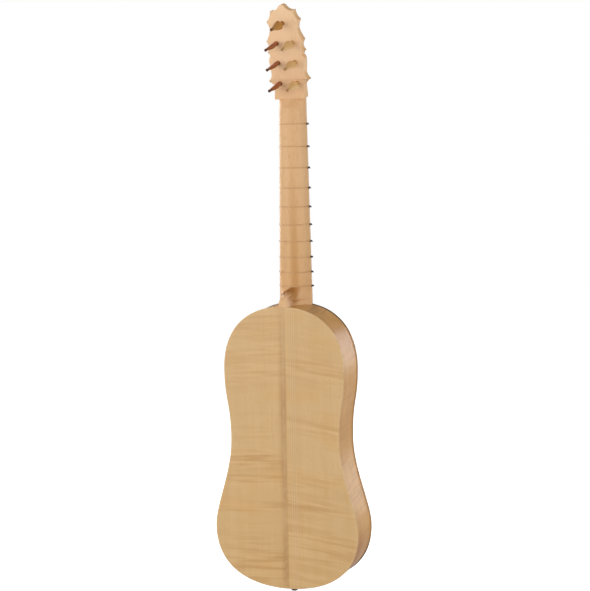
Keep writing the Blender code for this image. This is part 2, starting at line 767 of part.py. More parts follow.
def main():
    for old in list(bpy.data.objects):
        bpy.data.objects.remove(old)
    make_plates()
    make_ribs()
    make_blocks()
    make_braces()
    make_rose()
    make_neck()
    make_fingerboard()
    make_head()
    make_pegs()
    make_nut()
    make_bridge()
    make_strings()
    make_frets()
    make_button()


main()
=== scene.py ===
"""Looks of the four-course renaissance guitar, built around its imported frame.

Lengths are in millimetres while a piece is modelled, and shown scales it to metres.
+Z runs up the neck, the soundboard faces -Y, the back faces +Y and the bass side is -X.
"""

import math

import bmesh
import bpy
from mathutils import Matrix, Vector


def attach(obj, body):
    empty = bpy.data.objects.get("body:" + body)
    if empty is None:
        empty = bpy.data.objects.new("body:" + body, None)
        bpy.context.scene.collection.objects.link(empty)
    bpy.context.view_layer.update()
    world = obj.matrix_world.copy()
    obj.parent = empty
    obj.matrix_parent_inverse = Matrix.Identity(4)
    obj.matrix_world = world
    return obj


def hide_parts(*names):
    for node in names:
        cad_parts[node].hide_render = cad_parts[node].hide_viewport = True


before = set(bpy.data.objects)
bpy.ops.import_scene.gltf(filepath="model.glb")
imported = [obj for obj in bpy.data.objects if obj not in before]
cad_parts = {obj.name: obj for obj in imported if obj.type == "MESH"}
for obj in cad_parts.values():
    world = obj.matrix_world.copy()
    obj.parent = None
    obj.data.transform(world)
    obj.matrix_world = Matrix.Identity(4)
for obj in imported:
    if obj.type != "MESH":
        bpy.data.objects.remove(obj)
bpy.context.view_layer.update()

MM = 0.001
CREASE = 0.6

# Sizes shared with the part's source
SCALE_LENGTH = 540.0
BODY_LENGTH = 0.672 * SCALE_LENGTH
LOWER_HALF, WAIST_HALF, UPPER_HALF = 96.2, 72.8, 80.4
BRIDGE_Z = 0.2273 * BODY_LENGTH
NUT_Z = BRIDGE_Z + SCALE_LENGTH
HOLE_Z = 0.68 * BODY_LENGTH
HOLE_RADIUS = 31.0
TAIL = 10.0
FRONT, REAR = -28.5, 28.5
BOARD, BACK, RIB = 1.8, 2.0, 1.8
OVERHANG, BINDING = 1.2, 2.2
FINGERBOARD = 3.0
NECK_FRONT = FRONT + FINGERBOARD + 0.3
JOINT_HALF, NUT_HALF = 22.0, 17.9
THICK_JOINT, THICK_NUT, NECK_DIP = 19.0, 15.0, 4.3
HEEL_COVE = HEEL_TONGUE = 10.5
TONGUE_HALF = 5.9
HEAD_TILT = math.radians(15.1)
HEAD_FRONT = FRONT - 0.5
HEAD_BASE = NUT_Z + 4.8
HEAD_THICK, VENEER = 11.5, 0.9
BRIDGE_BASE = FRONT - 0.3
BRIDGE_WIDTH, BRIDGE_HEIGHT, TIE_HEIGHT = 12.0, 6.4, 4.0
NUT_STRING = FRONT - 1.7
STRIP_HALF = 6.0
FRETS = 10
JOIN = 0.02
HALVES = ((1, "treble"), (-1, "bass"))

# The photograph's view: turned from straight behind, raised and rolled, in degrees
VIEW_TURN, VIEW_RISE, VIEW_ROLL = 19.607, 5.503, -1.017
VIEW_FOCAL_PIXELS, VIEW_MM_PER_PIXEL = 1482.24, 1.27406
VIEW_TARGET = Vector((-7.14, -1.70, 384.63))
PHOTO_HEIGHT = 591.0
SENSOR = 36.0


# Shapes

def curve_spans():
    """The outline's four curves, from the tail up the treble side to the neck."""
    unit = BODY_LENGTH / 363.0
    lower, waist, upper = (LOWER_HALF, 77.0 * unit), (WAIST_HALF, 192.0 * unit), (UPPER_HALF, 282.0 * unit)

    def beside(point, rise):
        return point[0], point[1] + rise * unit

    return (
        ((0.0, 0.0), (0.42 * LOWER_HALF, 0.0), beside(lower, -62.8), lower),
        (lower, beside(lower, 27.9), beside(waist, -43.4), waist),
        (waist, beside(waist, 48.1), beside(upper, -42.9), upper),
        (upper, beside(upper, 50.9), (0.625 * UPPER_HALF, BODY_LENGTH), (0.0, BODY_LENGTH)),
    )


SPANS = curve_spans()
AT_TAIL, AT_NECK = (0.0, 0.6), (3.3, 4.0)


def plan(t, inset=0.0):
    """The body's outline: the (x, z) point at t of 0 to 4 up the treble side, moved inwards by inset."""
    i = min(int(t), 3)
    u, v = t - i, 1.0 - t + i
    where, slope = [], []
    for a, b, c, d in zip(*SPANS[i]):
        where.append(v ** 3 * a + 3 * v * v * u * b + 3 * v * u * u * c + u ** 3 * d)
        slope.append(v * v * (b - a) + 2 * v * u * (c - b) + u * u * (d - c))
    size = math.hypot(*slope)
    return where[0] - inset * slope[1] / size, where[1] + inset * slope[0] / size


def solve(x, inset, low, high):
    """The t between low and high where the inset outline is x away from the centre."""
    rising = plan(high, inset)[0] > plan(low, inset)[0]
    for _ in range(40):
        middle = (low + high) / 2
        if (plan(middle, inset)[0] < x) == rising:
            low = middle
        else:
            high = middle
    return (low + high) / 2


def stations(start, end, count):
    return [start + (end - start) * i / count for i in range(count + 1)]


def smooth(x):
    x = max(0.0, min(1.0, x))
    return x * x * (3 - 2 * x)


def spline(keys, x):
    """A smooth curve through (x, values) keys, without overshoot at the ends."""
    if x <= keys[0][0]:
        return list(keys[0][1:])
    for k in range(len(keys) - 1):
        if x <= keys[k + 1][0]:
            break
    before, here, there, after = (keys[max(0, min(len(keys) - 1, k + i))] for i in (-1, 0, 1, 2))
    span = there[0] - here[0]
    u = min(1.0, (x - here[0]) / span)
    made = []
    for i in range(1, len(here)):
        m0 = (there[i] - before[i]) / (there[0] - before[0]) * span
        m1 = (after[i] - here[i]) / (after[0] - here[0]) * span
        made.append((2 * u ** 3 - 3 * u * u + 1) * here[i] + (u ** 3 - 2 * u * u + u) * m0
                    + (3 * u * u - 2 * u ** 3) * there[i] + (u ** 3 - u * u) * m1)
    return made


def head_point(p, s, h):
    """A point p across the head, s up it and h in front of its front face."""
    c, d = math.cos(HEAD_TILT), math.sin(HEAD_TILT)
    return Vector((p, HEAD_FRONT + s * d - h * c, TAIL + HEAD_BASE + s * c + h * d))


# Mesh tools

def new_work():
    work = bmesh.new()
    for name in ("edge", "along", "around", "singe"):
        work.verts.layers.float.new(name)
    return work


def slab(points, vector):
    """A flat outline extruded into a solid."""
    work = new_work()
    face = work.faces.new([work.verts.new(point) for point in points])
    made = bmesh.ops.extrude_face_region(work, geom=[face])["geom"]
    bmesh.ops.translate(work, verts=[g for g in made if isinstance(g, bmesh.types.BMVert)], vec=vector)
    return work


def soften(work, edges, width, segments=2):
    """Rounds the given edges, and marks the new faces' corners as edge for their rubbing and painted
    highlight.
    """
    made = bmesh.ops.bevel(work, geom=list(edges), offset=width, offset_type="OFFSET",
                           segments=segments, profile=0.5, affect="EDGES", clamp_overlap=True, material=-1)
    layer = work.verts.layers.float["edge"]
    for vert in made["verts"]:
        vert[layer] = 1.0


def calm(work, width):
    """Insets the big flat faces, so that the mark on their edges stays near the edge."""
    layer = work.verts.layers.float["edge"]
    for face in [f for f in work.faces if len(f.verts) > 12]:
        bmesh.ops.inset_region(work, faces=[face], thickness=width, use_even_offset=True)
        for vert in face.verts:
            vert[layer] = 0.0


def edges_at(work, y):
    """Edges that lie at one y."""
    return [e for e in work.edges if all(abs(v.co.y - y) < 1e-4 for v in e.verts)]


def sweep(rings, lengths=None, closed=False, work=None):
    """Extrudes the first ring of points to each of the others in turn.

    The corners keep their share of the way around, and their length along the sweep if it is given.
    """
    if work is None:
        work = new_work()
    n = len(rings[0])
    along = work.verts.layers.float["along"]
    around = work.verts.layers.float["around"]
    verts = [work.verts.new(point) for point in rings[0]]
    edges = first = [work.edges.new((verts[i], verts[(i + 1) % n])) for i in range(n)]
    if not closed:
        work.faces.new(verts)
    for level, points in enumerate(rings):
        if level:
            made = bmesh.ops.extrude_edge_only(work, edges=edges)["geom"]
            fresh = {g for g in made if isinstance(g, bmesh.types.BMVert)}
            edges = [g for g in made if isinstance(g, bmesh.types.BMEdge) and fresh.issuperset(g.verts)]
            verts = [next(e.other_vert(v) for e in v.link_edges if e.other_vert(v) in fresh) for v in verts]
        for i, (vert, point) in enumerate(zip(verts, points)):
            vert.co = point
            vert[along] = lengths[level] if lengths else level
            vert[around] = i / n
    if closed:
        bmesh.ops.bridge_loops(work, edges=edges + first)
    else:
        work.faces.new(verts)
    return work


def sweep_cord(work, path, radius, sides, closed=False, swell=None):
    """Sweeps a round cord that never twists on itself along a path. swell holds shares of its radius."""
    points = [Vector(p) for p in path]
    count = len(points)
    rings, lengths = [], [0.0]
    normal = Vector((0.0, 0.0, 1.0)) if closed else Vector((1.0, 0.0, 0.0))
    for i, point in enumerate(points):
        before = points[i - 1] if closed or i else point
        after = points[(i + 1) % count] if closed or i < count - 1 else point
        along = (after - before).normalized()
        normal = (normal - along * normal.dot(along)).normalized()
        across = along.cross(normal)
        r = radius * (swell[i] if swell else 1.0)
        rings.append([point + r * (a * normal + b * across) for a, b in circle(sides)])
        if i:
            lengths.append(lengths[-1] + (points[i] - points[i - 1]).length)
    sweep(rings, lengths, closed, work)


def circle(sides):
    turns = [2 * math.pi * i / sides for i in range(sides)]
    return [(math.cos(turn), math.sin(turn)) for turn in turns]


def through(keys, per_span):
    """More points on a smooth curve through the keys."""
    rows = [(float(i), *key) for i, key in enumerate(keys)]
    return [Vector(spline(rows, i / per_span)) for i in range((len(keys) - 1) * per_span + 1)]


def shown(work, name):
    """Turns the work into an object in metres."""
    bmesh.ops.scale(work, vec=(MM, MM, MM), verts=work.verts)
    mesh = bpy.data.meshes.new(name)
    work.to_mesh(mesh)
    work.free()
    return linked(name, mesh)


def linked(name, data):
    """A new object of the scene."""
    made = bpy.data.objects.new(name, data)
    bpy.context.scene.collection.objects.link(made)
    return made


def finish_piece(work, name, slot, look, *nodes, body="guitar"):
    """Turns the work into a named piece that rides on a body, in place of CAD nodes."""
    bmesh.ops.remove_doubles(work, verts=work.verts, dist=0.0005)
    bmesh.ops.recalc_face_normals(work, faces=work.faces)
    if work.calc_volume(signed=True) < 0:
        bmesh.ops.reverse_faces(work, faces=work.faces)
    made = shown(work, name)
    shade(made.data)
    dress(made, LOOKS[look])
    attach(made, body)
    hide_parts(*nodes)
    return made


def shade(mesh):
    """Shades a mesh smooth, apart from its creases and its faces with many corners."""
    for face in mesh.polygons:
        face.use_smooth = len(face.vertices) < 7
    mesh.set_sharp_from_angle(angle=CREASE)


def dress(made, finish):
    made.data.materials.clear()
    made.data.materials.append(finish)


def pierce(made, bores):
    """Cuts bores out of a piece with exact Booleans. A bore is the rings at its two ends."""
    cutters = []
    for ends in bores:
        work = sweep(ends)
        bmesh.ops.recalc_face_normals(work, faces=work.faces)
        cutters.append(shown(work, "cutter"))
        modifier = made.modifiers.new("cut", "BOOLEAN")
        modifier.operation, modifier.solver, modifier.object = "DIFFERENCE", "EXACT", cutters[-1]
    bpy.context.view_layer.update()
    graph = bpy.context.evaluated_depsgraph_get()
    mesh = bpy.data.meshes.new_from_object(made.evaluated_get(graph))
    made.modifiers.clear()
    old = made.data
    made.data = mesh
    bpy.data.meshes.remove(old)
    mesh.name = made.name
    shade(mesh)
    for cutter in cutters:
        bpy.data.objects.remove(cutter)


# Materials

def linear(color):
    """A colour as seen, 0 to 255, as the shader's linear value."""
    made = [((c / 255 + 0.055) / 1.055) ** 2.4 if c > 10 else c / 255 / 12.92 for c in color]
    return (*made, 1.0)


class Graph:
    """Short words for adding nodes and links to a tree."""

    def __init__(self, tree):
        self.tree = tree

    def add(self, kind, settings=(), **inputs):
        """A new node with settings, (name, value) pairs, and inputs fed by name."""
        node = self.tree.nodes.new("ShaderNode" + kind)
        for key, value in settings:
            setattr(node, key, value)
        for key, value in inputs.items():
            self.feed(node, key, value)
        return node

    def feed(self, node, key, value):
        """Links a socket to one of the node's inputs, or sets that input's value."""
        if isinstance(value, bpy.types.NodeSocket):
            self.tree.links.new(value, node.inputs[key])
        else:
            node.inputs[key].default_value = value

    def math(self, operation, *values, clamp=False):
        node = self.add("Math", [("operation", operation), ("use_clamp", clamp)])
        for i, value in enumerate(values):
            self.feed(node, i, value)
        return node.outputs[0]

    def times(self, first, *others):
        """The product of all the values."""
        for other in others:
            first = self.math("MULTIPLY", first, other)
        return first

    def line(self, value, slope, start, clamp=False):
        """A value times a slope, plus a start."""
        return self.math("MULTIPLY_ADD", value, slope, start, clamp=clamp)

    def away(self, value, centre):
        """How far a value is from a centre, either way."""
        return self.math("ABSOLUTE", self.math("ADD", value, -centre))

    def mix(self, factor, a, b):
        """A colour between two, each a socket or a tone as seen, 0 to 255."""
        node = self.add("Mix", [("data_type", "RGBA")])
        self.feed(node, 0, factor)
        for key, value in ((6, a), (7, b)):
            self.feed(node, key, value if isinstance(value, bpy.types.NodeSocket) else linear(value))
        return node.outputs[2]

    def band(self, value, low, high, to_low=0.0, to_high=1.0):
        """A soft step from one output to the other as the value goes from low to high."""
        node = self.add("MapRange", [("interpolation_type", "SMOOTHSTEP")])
        for i, put in enumerate((value, low, high, to_low, to_high)):
            self.feed(node, i, put)
        return node.outputs[0]

    def stretch(self, vector, scale, turn=(0.0, 0.0, 0.0), shift=(0.0, 0.0, 0.0)):
        return self.add("Mapping", Vector=vector, Location=shift, Rotation=turn, Scale=scale).outputs[0]

    def noise(self, vector, scale, detail=2.0, rough=0.5, distortion=0.0, squeeze=None):
        if squeeze:
            vector = self.stretch(vector, squeeze)
        return self.add("TexNoise", Vector=vector, Scale=scale, Detail=detail, Roughness=rough,
                        Distortion=distortion).outputs["Fac"]

    def parts(self, vector):
        """A vector's X, Y and Z."""
        return self.add("SeparateXYZ", Vector=vector).outputs

    def mark(self, name):
        """A value that the piece's own mesh carries."""
        return self.add("Attribute", [("attribute_name", name)]).outputs["Fac"]


def grain(g, vector, bands, fine=900.0, wander=0.004):
    """Grain along Z: broad growth bands, fine fibres and short dark pores."""
    slow = g.add("TexNoise", Vector=g.stretch(vector, (1.0, 1.0, 0.6)), Scale=3.0, Detail=2.0)
    drift = g.add("VectorMath", [("operation", "MULTIPLY_ADD")])
    for i, value in enumerate((slow.outputs["Color"], (wander, wander, 0.0), vector)):
        g.feed(drift, i, value)
    moved = drift.outputs[0]
    pore = g.noise(moved, 1500.0, 1.0, squeeze=(1.0, 1.0, 0.06))
    return (g.noise(moved, bands, 3.0, 0.55, squeeze=(1.0, 1.0, 0.035)),
            g.noise(moved, fine, 2.0, 0.6, squeeze=(1.0, 1.0, 0.03)), g.band(pore, 0.62, 0.72))


def curl(g, vector, slant, pitch, patch):
    """Curl across the grain: uneven ripples and finer lines that come and go in patches."""
    x, y, z = g.parts(vector)
    flat = g.add("CombineXYZ", X=x, Y=y, Z=g.line(x, slant, z)).outputs[0]
    ripple = g.noise(flat, pitch, 2.0, 0.55, 0.25, squeeze=(0.075, 0.3, 1.0))
    line = g.noise(flat, 2.6 * pitch, 2.0, 0.6, squeeze=(0.03, 0.3, 1.0))
    spread = g.noise(flat, patch, 2.0, 0.55, squeeze=(0.75, 0.7, 1.6))
    return g.band(ripple, 0.34, 0.62), g.band(line, 0.4, 0.66), g.band(spread, 0.42, 0.66)


def handled(g, vector, wear_and_highlight=0.5):
    """Age and handling: soft blotches, rub marks, and pale edges that are part rubbing and part painted
    highlight.
    """
    broken = g.band(g.noise(vector, 140.0, 3.0, 0.6), 0.35, 0.62)
    return (g.noise(vector, 16.0, 3.0, 0.55, squeeze=(1.0, 1.0, 0.6)),
            g.noise(vector, 220.0, 4.0, 0.65, squeeze=(1.0, 1.0, 0.25)),
            g.math("MULTIPLY", g.times(g.mark("edge"), broken), wear_and_highlight, clamp=True))


def start_finish(name):
    """A new material with its graph, its shader and its Object coordinates."""
    made = bpy.data.materials.new(name)
    made.use_nodes = True
    g = Graph(made.node_tree)
    return made, g, g.tree.nodes["Principled BSDF"], g.add("TexCoord").outputs["Object"]


def end_finish(g, shader, color, rough, bump, coat=0.0, smear=0.03):
    """Feeds the shader. bump is (strength, distance, height), smear the coat's roughness."""
    g.feed(shader, "Base Color", color)
    g.feed(shader, "Roughness", rough)
    strength, distance, height = bump
    raised = g.add("Bump", Strength=strength, Distance=distance, Height=height)
    g.feed(shader, "Normal", raised.outputs[0])
    g.feed(shader, "Coat Weight", coat)
    g.feed(shader, "Coat Roughness", smear)


def wood(name, pale, deep, dark, rough=0.4, shift=(0.0, 0.0, 0.0), turn=(0.0, 0.0, 0.0),
         flame=None, bands=60.0, band_share=0.5, fibre_share=0.35, pore_share=0.35, coat=0.0,
         wear_and_highlight=0.5, wear_and_highlight_tone=None, extra=None, wander=0.004, along=False, zones=(), gloss=0.5):
    """Varnished wood. pale and deep are the tones of its growth bands, dark its pores and low ripples.

    flame is (strength, slant, pitch, patch, floor) for a curled figure, and zones are the heights where it is
    strong, as (centre, half height, share). extra adds a colour step of its own.
    With along set, the grain follows the length of a bent strip instead of Z.
    """
    made, g, shader, coords = start_finish(name)
    flow = coords
    if along:
        _, y, _ = g.parts(coords)
        flow = g.add("CombineXYZ", X=y, Z=g.times(g.mark("along"), MM)).outputs[0]
    vector = g.stretch(flow, (1.0, 1.0, 1.0), turn, shift)
    band, fibre, pore = grain(g, vector, bands, wander=wander)
    blotch, rub, edge = handled(g, vector, wear_and_highlight)
    color = g.mix(g.times(g.band(band, 0.32, 0.68), band_share), pale, deep)
    color = g.mix(g.times(g.band(fibre, 0.35, 0.7), fibre_share), color, deep)
    color = g.mix(g.times(pore, pore_share), color, dark)
    height = g.line(pore, -0.6, g.times(fibre, 0.5))
    if flame:
        strength, slant, pitch, patch, floor = flame
        ripple, line, spread = curl(g, vector, slant, pitch, patch)
        amount = g.line(spread, 0.4 if zones else 1.0 - floor, floor)
        if zones:
            x, _, z = g.parts(coords)
            leaning = g.line(x, slant, z)
        for centre, half, share in zones:
            strong = g.band(g.away(leaning, centre), 0.35 * half, 1.15 * half, share, 0.0)
            amount = g.math("ADD", amount, strong, clamp=True)
        low = g.math("SUBTRACT", 1.0, ripple)
        color = g.mix(g.times(low, amount, strength), color, dark)
        color = g.mix(g.times(line, amount, strength * 0.45), color, dark)
        lighter = [min(255, c * 1.07) for c in pale]
        color = g.mix(g.times(ripple, amount, strength * 0.5), color, lighter)
        height = g.line(ripple, 0.25, height)
    color = g.mix(g.times(g.band(blotch, 0.35, 0.7), 0.16), color, [c * 0.93 for c in deep])
    if extra:
        color = extra(g, coords, color)
    # pale edges: partly rubbing, partly a painted highlight on the rounded edges
    color = g.mix(g.times(edge, 0.55), color, wear_and_highlight_tone or pale)
    rougher = g.line(pore, 0.15, g.line(rub, 0.22, rough - 0.11), clamp=True)
    end_finish(g, shader, color, rougher, (0.12, 0.0004, height), coat, 0.22)
    g.feed(shader, "Specular IOR Level", gloss)
    return made


# Side of each half, slant of its curl, and the heights where the curl is strong
BACK_FIGURE = {
    1: (0.05, ((0.308, 0.032, 0.4), (0.181, 0.015, 0.9), (0.151, 0.008, 0.9), (0.117, 0.008, 0.7),
               (0.040, 0.027, 0.75))),
    -1: (-0.13, ((0.300, 0.010, 0.35), (0.226, 0.011, 0.3), (0.162, 0.012, 0.4), (0.124, 0.008, 0.5),
                 (0.070, 0.028, 0.55))),
}


def maple_back(name, side):
    """One half of the back. side is 1 for the treble half and -1 for the bass half."""

    def extra(g, coords, color):
        """Warm patches, the darker band along the joint and the bass half's light lines beside it."""
        x, _, z = g.parts(coords)
        out = g.times(x, float(side))
        unsteady = g.noise(coords, 60.0, squeeze=(1.0, 1.0, 0.12))
        warm = g.band(g.noise(coords, 17.0, squeeze=(0.8, 0.8, 1.3)), 0.46, 0.68, 0.0, 0.34)
        color = g.mix(warm, color, (214, 162, 90))
        sway, start, end = (0.006, 0.0, 0.0095) if side > 0 else (0.002, 0.0012, 0.0052)
        swaying = g.math("ADD", out, g.line(unsteady, sway, -sway / 2))
        patchy = g.band(g.noise(coords, 14.0, 1.0, squeeze=(0.2, 0.2, 1.0)), 0.3, 0.6, 0.5, 1.0)
        depth = g.times(patchy, g.band(z, 0.24, 0.36, 0.72, 0.36))
        color = g.mix(g.times(g.band(swaying, start, end, 1.0, 0.0), depth), color, (180, 130, 72))
        if side > 0:
            return color
        for line in (0.0100, 0.0128, 0.0158):
            off = g.away(g.line(unsteady, 0.0008, out), line)
            color = g.mix(g.band(off, 0.0001, 0.0006, 0.45, 0.0), color, (230, 196, 150))
            color = g.mix(g.band(g.away(off, 0.0009), 0.0001, 0.0005, 0.2, 0.0), color, (186, 146, 98))
        return color

    slant, zones = BACK_FIGURE[side]
    return wood(name, (221, 183, 128), (212, 169, 109), (190, 131, 62), rough=0.42,
                shift=(0.31 * side, 0.0, 0.12 * side), flame=(0.46, slant, 190.0, 11.0, 0.06), zones=zones,
                bands=70.0, band_share=0.4, fibre_share=0.3, pore_share=0.25, coat=0.05,
                wear_and_highlight=0.6, wear_and_highlight_tone=(228, 198, 156), extra=extra)


def neck_tones_and_shade(g, coords, color):
    """A darker streak down the neck, and painted shade on the flank beside the heel's tongue and in the
    hollow over it.
    """
    x, _, z = g.parts(coords)
    unsteady = g.noise(coords, 55.0, squeeze=(1.0, 1.0, 0.1))
    off = g.math("ADD", x, g.line(unsteady, 0.008, 0.0005))
    across = g.band(g.math("ABSOLUTE", off), 0.001, 0.0085, 1.0, 0.0)
    above = g.band(z, 0.3835, 0.392)
    color = g.mix(g.times(g.band(z, 0.39, 0.56, 0.4, 0.0), above), color, (214, 166, 110))
    color = g.mix(g.times(across, g.band(z, 0.39, 0.60, 0.7, 0.18), above), color, (196, 142, 84))
    # painted shade on the flank beside the tongue, whose edge leans in as it rises
    past_edge = g.math("SUBTRACT", g.line(z, 0.24, -0.0970), x)
    beside = g.times(g.band(past_edge, 0.0, 0.0006), g.band(x, -0.0120, -0.0075, 0.0, 0.85),
                     g.band(z, 0.384, 0.394, 1.0, 0.0))
    color = g.mix(beside, color, (188, 130, 68))
    # painted shade in the hollow below an arc that climbs from the treble flank to the ridge
    arc = g.line(g.math("MAXIMUM", x, 0.0), -0.6, 0.3952)
    fall = g.math("SUBTRACT", arc, z)
    inside = g.math("SUBTRACT", 1.0, g.band(past_edge, -0.0006, 0.0))
    tongue = g.times(inside, g.band(z, 0.3822, 0.3842, 1.0, 0.0))
    hollow = g.times(g.band(fall, 0.0, 0.0014), g.band(fall, 0.0035, 0.0135, 0.9, 0.0),
                     g.band(x, -0.015, -0.001), g.math("SUBTRACT", 1.0, tongue))
    return g.mix(hollow, color, (156, 98, 40))


def rib_painted_shade(g, coords, color):
    """Painted shade on the bent sides: darker and redder by the tail, most towards the back, at the waist and
    under the shoulder, where less light falls on them.
    """
    _, y, z = g.parts(coords)
    # painted shade by the tail and next to the back, at the waist, and under the shoulder
    low = g.times(g.band(z, 0.062, 0.100, 1.0, 0.0), g.band(y, -0.012, 0.028, 0.35, 1.0))
    waist = g.band(g.away(z, 0.222), 0.008, 0.028, 0.2, 0.0)
    under = g.times(g.band(z, 0.296, 0.326, 0.0, 0.55), g.band(z, 0.336, 0.352, 1.0, 0.0))
    color = g.mix(low, color, (180, 112, 40))
    return g.mix(g.math("MAXIMUM", waist, under), color, (190, 126, 60))


def edging_painted_sheen(g, coords, color):
    """Between the shoulders and the tail, the blackened edging is painted pale on its outer side as a painted
    sheen.
    """
    _, y, z = g.parts(coords)
    between = g.times(g.band(z, 0.045, 0.075, 0.0, 1.0), g.band(z, 0.325, 0.360, 0.85, 0.0))
    return g.mix(g.times(g.band(y, -0.0284, -0.0280, 0.0, 1.0), between), color, (204, 168, 124))


def head_painted_light(g, coords, color):
    """Painted light on the head: its sawn sides are painted darker and warmer than its back as painted shade,
    and its base is as dark as the neck, where the head's painted paler tone ends.
    """
    _, _, z = g.parts(coords)
    color = g.mix(g.band(z, 0.64, 0.68, 0.8, 0.0), color, (234, 188, 140))
    return g.mix(g.times(g.mark("along"), 0.7), color, (232, 178, 116))


def peg_wood(name, pale, deep, tip):
    """Carved peg: the grain runs down the shank, painted shade darkens its thin neck under the leaf, and the
    tip is dark from the fingers.
    """
    turn = (math.pi / 2 + HEAD_TILT, 0.0, 0.0)

    def extra(g, coords, color):
        along = g.mark("along")
        uneven = g.noise(g.stretch(coords, (1.0, 1.0, 1.0), turn), 260.0)
        # painted shade round the thin neck and collar, under the leaf
        color = g.mix(g.band(g.away(along, 25.6), 1.6, 3.8, 0.5, 0.0), color, tip)
        return g.mix(g.band(g.line(uneven, 8.0, along), 58.0, 70.0, 0.0, 0.9), color, tip)

    return wood(name, pale, deep, tip, rough=0.5, turn=turn, bands=260.0, band_share=0.8, fibre_share=0.5,
                pore_share=0.5, wear_and_highlight=0.3, extra=extra, wander=0.002, gloss=0.35)


def spruce_board():
    """Quarter-sawn spruce: even dark year lines along Z, closer together near the centre joint."""
    made, g, shader, coords = start_finish("spruce_front")
    x, _, z = g.parts(coords)
    band, fibre, _ = grain(g, coords, 40.0, 1300.0)
    blotch, rub, edge = handled(g, coords, 0.4)
    sway = g.noise(coords, 14.0, squeeze=(1.0, 1.0, 0.1))
    out = g.math("ADD", g.math("ABSOLUTE", x), g.times(sway, 0.012))
    late = g.band(g.math("SINE", g.times(g.math("POWER", out, 0.93), 3300.0)), 0.2, 1.0)
    color = g.mix(g.times(late, 0.55), (226, 190, 134), (186, 136, 80))
    color = g.mix(g.times(g.band(band, 0.35, 0.7), 0.3), color, (206, 164, 104))
    silk = g.noise(coords, 420.0, 2.0, 0.6, squeeze=(0.12, 1.0, 1.0))
    shine = g.times(g.band(silk, 0.5, 0.75), g.band(blotch, 0.45, 0.65), 0.22)
    color = g.mix(shine, color, (238, 208, 158))
    color = g.mix(g.times(g.band(fibre, 0.4, 0.7), 0.18), color, (190, 144, 90))
    # the inlaid rings round the hole
    lift = g.math("ADD", z, -(HOLE_Z + TAIL) * MM)
    ring = g.math("SQRT", g.math("ADD", g.times(x, x), g.times(lift, lift)))
    black, pale, brown = (38, 26, 18), (214, 184, 140), (60, 38, 22)
    soft = 0.06
    for radius, half, tone in ((34.0, 0.45, black), (35.0, 0.45, pale), (36.0, 0.45, black),
                               (39.5, 0.3, brown), (32.2, 0.3, brown)):
        off = g.away(ring, radius * MM)
        color = g.mix(g.band(off, (half - soft) * MM, (half + soft) * MM, 0.92, 0.0), color, tone)
    # pale edges: partly rubbing, partly a painted highlight on the rounded edges
    color = g.mix(g.times(edge, 0.4), color, (232, 204, 156))
    height = g.line(late, 0.5, g.times(fibre, 0.4))
    end_finish(g, shader, color, g.line(rub, 0.25, 0.36), (0.15, 0.0003, height), 0.2, 0.25)
    return made


def gut(name, pale, deep, singed):
    """Twisted gut: a fine lay round the cord from its own measures, and burnt knot ends."""
    made, g, shader, coords = start_finish(name)
    turns = g.math("ADD", g.times(g.mark("along"), 0.9), g.times(g.mark("around"), 3.0))
    lay = g.math("SINE", g.times(turns, 2 * math.pi))
    cloudy = g.noise(coords, 240.0, 3.0, 0.6)
    color = g.mix(g.band(cloudy, 0.35, 0.7), pale, deep)
    color = g.mix(g.band(lay, 0.2, 1.0, 0.0, 0.25), color, deep)
    color = g.mix(g.band(g.line(cloudy, 0.5, g.mark("singe")), 0.45, 0.95), color, singed)
    bump = (0.35, 0.0001, g.line(lay, 0.5, cloudy))
    end_finish(g, shader, color, g.line(cloudy, 0.3, 0.22), bump, 0.1)
    return made


def bone():
    made, g, shader, coords = start_finish("nut_bone")
    blotch, rub, _ = handled(g, coords)
    lines = g.noise(coords, 700.0, 3.0, 0.6, squeeze=(0.08, 1.0, 1.0))
    color = g.mix(g.band(lines, 0.4, 0.7, 0.0, 0.5), (238, 228, 200), (214, 196, 158))
    color = g.mix(g.times(g.band(blotch, 0.4, 0.7), 0.3), color, (206, 184, 140))
    end_finish(g, shader, color, g.line(rub, 0.25, 0.2), (0.1, 0.0002, lines))
    return made


